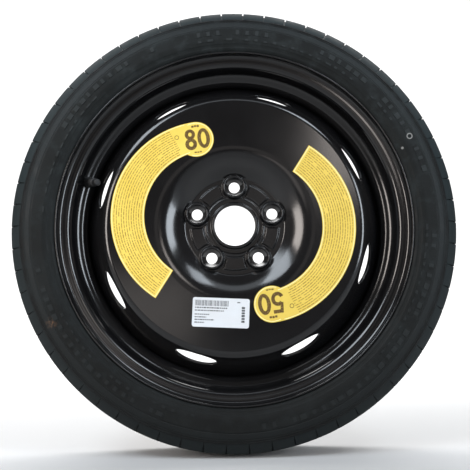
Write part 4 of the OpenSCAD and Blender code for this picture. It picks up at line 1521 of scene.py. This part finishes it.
SIDE_BLOCKS_AT = 30.6
SIDE_BLOCKS_W = 4.4
PARTS_ROWS = (  # broken rows on the white label, as (height, start, end, thickness)
    (6.2, -35.5, 9.0, 1.7),
    (2.4, -35.5, 4.0, 1.5),
    (-2.9, -35.5, -16.0, 1.5),
    (-6.6, -35.5, -19.5, 1.6),
    (-10.1, -35.5, -9.0, 1.6),
    (-13.9, -35.5, -22.0, 1.5),
    (14.6, 22.0, 27.0, 1.4),
)


def rotated(x, y, tilt):
    """Points turned by a tilt."""
    c = math.cos(tilt)
    s = math.sin(tilt)
    return np.stack([x * c - y * s, x * s + y * c], axis=-1)


class Print:
    """Gathers thin flat strips as one inked piece. Its turn places a label's points on the disc's face."""

    def __init__(self, label, turn):
        face = bpy.context.scene.spare_disc.face_h
        self.level = (face + label.sheet) / MM + INK_GAP
        self.turn = turn
        self.places = []
        self.faces = []
        self.strips = 0

    def strip(self, inner, outer, closed=False):
        """A strip between two lines of 2-D points of equal length."""
        n = len(inner)
        base = len(self.places)
        # Strips that cross lie a hair apart in height
        level = self.level + INK_STEP * (self.strips % 4)
        self.strips += 1
        for line in (self.turn(np.asarray(inner, float)), self.turn(np.asarray(outer, float))):
            for lift in (0.0, INK_T):
                self.places += [(p[0], -(level + lift), p[1]) for p in line]
        low_in, top_in, low_out, top_out = (base + k * n for k in range(4))
        for i in range(n if closed else n - 1):
            j = (i + 1) % n
            self.faces += [
                (top_in + i, top_in + j, top_out + j, top_out + i),
                (low_in + i, low_out + i, low_out + j, low_in + j),
                (low_in + i, low_in + j, top_in + j, top_in + i),
                (low_out + i, top_out + i, top_out + j, low_out + j),
            ]
        if not closed:
            e = n - 1
            self.faces.append((low_in, top_in, top_out, low_out))
            self.faces.append((low_in + e, low_out + e, top_out + e, top_in + e))

    def arc(self, centre, r0, r1, a0, a1):
        """A strip between two radii, from one angle to another."""
        steps = max(1, int(abs(a1 - a0) * r1 / 4))
        way = on_circle(np.linspace(a0, a1, steps + 1))
        self.strip(centre + r0 * way, centre + r1 * way)

    def bar(self, centre, w, h, tilt=0.0):
        x = np.array([-w / 2, w / 2])
        lines = [np.array(centre) + rotated(x, y, tilt) for y in (-h / 2, h / 2)]
        self.strip(*lines)

    def oval(self, centre, outer, inner, tilt=0.0, start=0.0, end=TURN):
        """An oval stroke between two ovals given as (half width, half height)."""
        closed = end - start > TURN - 1e-6
        a = np.linspace(start, end, 49)[: 48 if closed else 49]
        lines = [np.array(centre) + rotated(w * np.cos(a), h * np.sin(a), tilt) for w, h in (inner, outer)]
        self.strip(*lines, closed)

    def build(self, name, material, record_slot):
        place(name, plain_mesh(name, self.places, self.faces, 30), WHEEL, material, record_slot)


class BandRows:
    """Arcs that follow a speed label's band, by their distance from its inner edge."""

    def __init__(self, label):
        self.outer = label.band_outer / MM
        self.width = label.band_w / MM
        self.taper = label.band_taper / MM

    def arc(self, inset):
        """Centre and radius of the arc at a distance from the inner edge."""
        share = inset / self.width
        centre = BAND_CENTRE + np.array([self.taper * (1 - share), 0.0])
        return centre, self.outer - self.width * (1 - share) + self.taper * (1 - share)

    def end(self, centre, r, margin):
        """Angle about the row's centre at which it comes near the band's square end."""
        a = BAND_TO
        for _ in range(6):
            off = centre + r * np.array([math.cos(a), math.sin(a)]) - BAND_CENTRE
            a += BAND_TO - margin / r - math.atan2(off[1], off[0]) % TURN
        return a

    def point(self, inset, margin):
        """Place on a row near the band's square end."""
        centre, r = self.arc(inset)
        a = self.end(centre, r, margin)
        return centre + r * np.array([math.cos(a), math.sin(a)])


def eight(ink, centre, tilt):
    ink.oval(centre + 7.6 * rotated(0.0, 1.0, tilt), (7.3, 7.6), (2.5, 2.9), tilt)
    ink.oval(centre - 6.4 * rotated(0.0, 1.0, tilt), (8.3, 8.6), (3.1, 3.5), tilt)


def zero(ink, centre, tilt):
    ink.oval(centre, (8.8, 14.5), (3.6, 9.3), tilt)


def five(ink, centre, tilt):
    def at(x, y):
        return centre + rotated(x, y, tilt)

    ink.bar(at(0.6, 12.2), 13.6, 4.8, tilt)
    ink.strip([at(-6.1, 14.3), at(-7.6, 0.2)], [at(-1.9, 14.3), at(-3.4, 0.2)])
    ink.oval(at(-0.4, -4.9), (8.9, 9.7), (3.9, 4.7), tilt, math.radians(-158), math.radians(139))


def print_border(border, label, rows):
    """A pale line just inside a speed label's edge."""
    insets = (BORDER_INSET, rows.width - BORDER_INSET)
    for inset, start in zip(insets, (0.16, 0.10)):
        centre, r = rows.arc(inset)
        border.arc(centre, r - BORDER_HALF, r + BORDER_HALF, BAND_FROM + start, rows.end(centre, r, 1.6))
    border.strip(*([rows.point(inset, margin) for inset in insets] for margin in (2.0, 1.2)))
    head_r = label.head_r / MM
    head = BAND_CENTRE + (rows.outer - head_r) * np.array([math.cos(BAND_FROM), math.sin(BAND_FROM)])
    border.arc(head, head_r - HEAD_BORDER[0], head_r - HEAD_BORDER[1], HEAD_FROM, HEAD_TO)


def print_rows(fine, rows, rng):
    """Rows of fine print, as plain broken bars that follow the band."""
    for k in range(FINE_ROWS):
        centre, r = rows.arc(FINE_INSET + (rows.width - 2 * FINE_INSET) * k / (FINE_ROWS - 1))
        a = BAND_FROM + math.radians(15.5 if k > 1 else 17.5)
        stop = rows.end(centre, r, 4.5)
        while a < stop:
            end = min(a + rng.uniform(1.6, 7.5) / r, stop)
            thick = rng.uniform(0.8, 1.15)
            fine.arc(centre, r - thick / 2, r + thick / 2, a, end)
            a = end + rng.uniform(0.7, 1.5) / r
            if rng.random() < 0.035:
                a += rng.uniform(3, 9) / r


def print_digits(ink, middle, first_digit):
    """A number with short bars over and under it, and a plain ring beside it."""
    step = DIGIT_STEP * rotated(1.0, 0.0, DIGIT_TILT)
    first_digit(ink, middle - step, DIGIT_TILT)
    zero(ink, middle + step, DIGIT_TILT)
    for x, y, w, h in SHORT_BARS:
        ink.bar(middle + rotated(x, y, DIGIT_TILT), w, h, DIGIT_TILT)
    ink.oval((-78.6, 119.2), (3.1, 3.1), (2.3, 2.3))


def make_speed_labels():
    label = bpy.context.scene.spare_labels
    rows = BandRows(label)
    rng = np.random.default_rng(7)
    # The second label is the first one turned by half a turn
    for name, sign, film, middle, first_digit in (
        ("80", 1.0, label.yellow_left, DIGITS_80, eight),
        ("50", -1.0, label.yellow_right, DIGITS_50, five),
    ):
        colour = tuple(film)
        dress("speed_label_" + name, film_finish("yellow_film_" + name, colour, shade(colour, 1.12, 0.02)))

        def turn(p, sign=sign):
            return LABEL_SHIFT + sign * p

        border = Print(label, turn)
        print_border(border, label, rows)
        fine = Print(label, turn)
        print_rows(fine, rows, rng)
        digits = Print(label, turn)
        print_digits(digits, middle, first_digit)
        for made, piece, finish, ink in (
            (border, "speed_border_", "border_ink_", label.border),
            (fine, "speed_rows_", "fine_ink_", label.fine_ink),
            (digits, "speed_digits_", "brown_ink_", label.ink),
        ):
            made.build(piece + name, ink_finish(finish + name, tuple(ink), colour), "yellow_film")


class MakeSpeedLabels(BuildStep, bpy.types.Operator):
    """Finishes the two speed labels and prints their digits, rows and borders"""

    bl_idname = "spare_wheel.make_speed_labels"
    bl_label = "Speed labels"
    build = staticmethod(make_speed_labels)


def make_parts_label():
    label = bpy.context.scene.spare_labels
    dress("parts_label", film_finish("white_film", tuple(label.white), WHITE_FILM_EDGE))

    def turn(p):
        return PARTS_AT + rotated(p[:, 0], p[:, 1], PARTS_TILT)

    ink = Print(label, turn)
    rng = np.random.default_rng(11)
    # Upright bars of uneven width along the top
    x, end = TOP_BARS
    while x < end:
        w = rng.choice([0.45, 0.7, 1.0])
        ink.bar((x + w / 2, TOP_BARS_AT), w, TOP_BARS_H)
        x += w + rng.choice([0.5, 0.8, 1.1])
    for y, start, end, h in PARTS_ROWS:
        x = start
        while x < end:
            w = min(rng.uniform(1.4, 4.2), end - x)
            ink.bar((x + w / 2, y), w, h)
            x += w + 0.8
    # Blocks up the right-hand side
    y, end = SIDE_BLOCKS
    while y < end:
        h = rng.uniform(2.4, 3.4)
        ink.bar((SIDE_BLOCKS_AT, y + h / 2), SIDE_BLOCKS_W, h)
        y += h + 1.0
    ink.build("parts_print", ink_finish("grey_ink", tuple(label.grey_ink), PAPER_GREY), "white_film")


class MakePartsLabel(BuildStep, bpy.types.Operator):
    """Finishes the white label and prints its plain bars"""

    bl_idname = "spare_wheel.make_parts_label"
    bl_label = "Parts label"
    build = staticmethod(make_parts_label)


# Stage

SENSOR_W = 36.0
FLOOR_SIDE = 9.0  # half width of the floor, and its reach in front
BACK_START = 3.2  # where the backdrop starts to curve up
BACK_BEND = 2.2
BACK_TOP = 7.0
# Painted shade darkens the floor in front of the wheel
SHADE_FROM = -0.12  # the floor grows darker in front of the wheel, between these places along Y
SHADE_TO = -0.8
HUB = (0.0, 0.0, 0.0)
COOL = (0.84, 0.92, 1.0)
WARM = (1.0, 0.92, 0.87)
WHITE = (1.0, 1.0, 1.0)
WORLD = (1.0, 0.93, 0.88, 1.0)
WORLD_STRENGTH = 0.11
LIGHTS = (  # name, place, target, width and height, watts, colour
    ("ceiling", (0.0, -1.25, 2.0), HUB, (2.0, 0.5), 5, COOL),
    ("ceiling_left", (-1.25, -1.25, 1.6), HUB, (1.2, 0.9), 30, COOL),
    ("ceiling_right", (1.0, -1.25, 1.7), HUB, (0.7, 0.6), 11, COOL),
    ("left", (-2.0, -1.9, 0.5), HUB, (0.8, 1.4), 36, WARM),
    ("right", (2.0, -1.9, 0.45), HUB, (0.75, 1.4), 38, COOL),
    ("haze_left", (-0.75, -3.6, -0.05), HUB, (1.1, 0.5), 2.4, WARM),
    ("haze_hub", (0.05, -3.6, 0.5), HUB, (0.75, 0.7), 0.6, WARM),
    ("wall", (0.85, -3.4, 1.05), HUB, (0.5, 0.65), 6, WARM),
    ("wash", (0.0, 1.9, 3.2), (0.0, 4.4, 0.2), (6.0, 2.4), 430, WHITE),
)


def link_new(name, data):
    """A new object of the scene."""
    obj = bpy.data.objects.new(name, data)
    bpy.context.scene.collection.objects.link(obj)
    return obj


def make_camera(stage):
    data = bpy.data.cameras.new("camera")
    data.lens = stage.lens
    data.sensor_width = SENSOR_W
    data.clip_start = 0.01
    data.clip_end = 100.0
    camera = link_new("camera", data)
    level = math.cos(stage.pitch)
    ahead = Vector((math.sin(stage.yaw) * level, math.cos(stage.yaw) * level, math.sin(stage.pitch)))
    right = Vector((math.cos(stage.yaw), -math.sin(stage.yaw), 0))
    up = right.cross(ahead)
    side = right * math.cos(stage.roll) + up * math.sin(stage.roll)
    top = -right * math.sin(stage.roll) + up * math.cos(stage.roll)
    turn = Matrix((side, top, -ahead)).transposed().to_4x4()
    camera.matrix_world = Matrix.Translation((stage.camera_x, stage.camera_y, stage.camera_z)) @ turn
    bpy.context.scene.camera = camera


def make_floor(stage):
    """Floor and curved backdrop in one sheet."""
    ground = -bpy.context.scene.spare_tyre.outside_d / 2
    profile = [(-FLOOR_SIDE, 0.0), (BACK_START, 0.0)]
    for t in np.linspace(0.05, math.pi / 2, 24):
        profile.append((BACK_START + BACK_BEND * math.sin(t), BACK_BEND - BACK_BEND * math.cos(t)))
    profile.append((BACK_START + BACK_BEND, BACK_TOP))
    places = [(x, y, ground + z) for y, z in profile for x in (-FLOOR_SIDE, FLOOR_SIDE)]
    faces = [(2 * i, 2 * i + 1, 2 * i + 3, 2 * i + 2) for i in range(len(profile) - 1)]
    mesh = bpy.data.meshes.new("floor")
    mesh.from_pydata(places, [], faces)
    mesh.shade_smooth()
    colour = tuple(stage.floor)
    f = Finish("floor")
    patchy = f.over(colour, shade(colour, 0.985), f.noise(0.8, 3.0, 0.55), 0.3, 0.7, 1.0)
    # Painted shade: the floor grows darker in front of the wheel
    f.use(f.over(patchy, shade(colour, 0.55), f.split()[1], SHADE_FROM, SHADE_TO, 1.0), "Base Color")
    f.use(0.85, "Roughness")
    f.use(0.2, "Specular IOR Level")
    mesh.materials.append(f.material)
    link_new("floor", mesh)


def make_light(name, at, target, size, power, colour):
    data = bpy.data.lights.new(name, "AREA")
    data.shape = "RECTANGLE"
    data.size, data.size_y = size
    data.energy = power
    data.color = colour
    obj = link_new(name, data)
    obj.location = at
    obj.rotation_euler = (Vector(target) - Vector(at)).to_track_quat("-Z", "Y").to_euler()


def make_stage():
    scene = bpy.context.scene
    make_camera(scene.spare_stage)
    make_floor(scene.spare_stage)
    for light in LIGHTS:
        make_light(*light)
    world = bpy.data.worlds.new("studio")
    scene.world = world
    world.use_nodes = True
    back = world.node_tree.nodes["Background"]
    back.inputs["Color"].default_value = WORLD
    back.inputs["Strength"].default_value = WORLD_STRENGTH
    scene.view_settings.view_transform = "Standard"
    scene.view_settings.look = "None"
    scene.view_settings.exposure = 0.0


class MakeStage(BuildStep, bpy.types.Operator):
    """Sets the camera, the floor and the lights"""

    bl_idname = "spare_wheel.make_stage"
    bl_label = "Stage"
    build = staticmethod(make_stage)


OPERATORS = (
    MakeTyre,
    MakeRim,
    MakeDisc,
    MakeWeldSeams,
    MakeValve,
    MakeSpeedLabels,
    MakePartsLabel,
    MakeStage,
)
GROUPS = {
    "spare_tyre": TyreSettings,
    "spare_rim": RimSettings,
    "spare_disc": DiscSettings,
    "spare_valve": ValveSettings,
    "spare_labels": LabelSettings,
    "spare_stage": StageSettings,
}


class SpareWheelPanel(bpy.types.Panel):
    """Lists the wheel's pieces"""

    bl_idname = "VIEW3D_PT_spare_wheel"
    bl_label = "Spare Wheel"
    bl_space_type = "VIEW_3D"
    bl_region_type = "UI"
    bl_category = "Spare Wheel"

    def draw(self, context):
        for operator in OPERATORS:
            self.layout.operator(operator.bl_idname)
        for name in GROUPS:
            box = self.layout.box()
            group = getattr(context.scene, name)
            for field in group.__annotations__:
                box.prop(group, field)


def register():
    for group in GROUPS.values():
        bpy.utils.register_class(group)
    for operator in OPERATORS:
        bpy.utils.register_class(operator)
    bpy.utils.register_class(SpareWheelPanel)
    for name, group in GROUPS.items():
        setattr(bpy.types.Scene, name, PointerProperty(type=group))


def unregister():
    for name in GROUPS:
        delattr(bpy.types.Scene, name)
    bpy.utils.unregister_class(SpareWheelPanel)
    for operator in reversed(OPERATORS):
        bpy.utils.unregister_class(operator)
    for group in reversed(list(GROUPS.values())):
        bpy.utils.unregister_class(group)


def main():
    register()
    for operator in OPERATORS:
        group, name = operator.bl_idname.split(".")
        getattr(getattr(bpy.ops, group), name)()


if __name__ == "__main__":
    main()
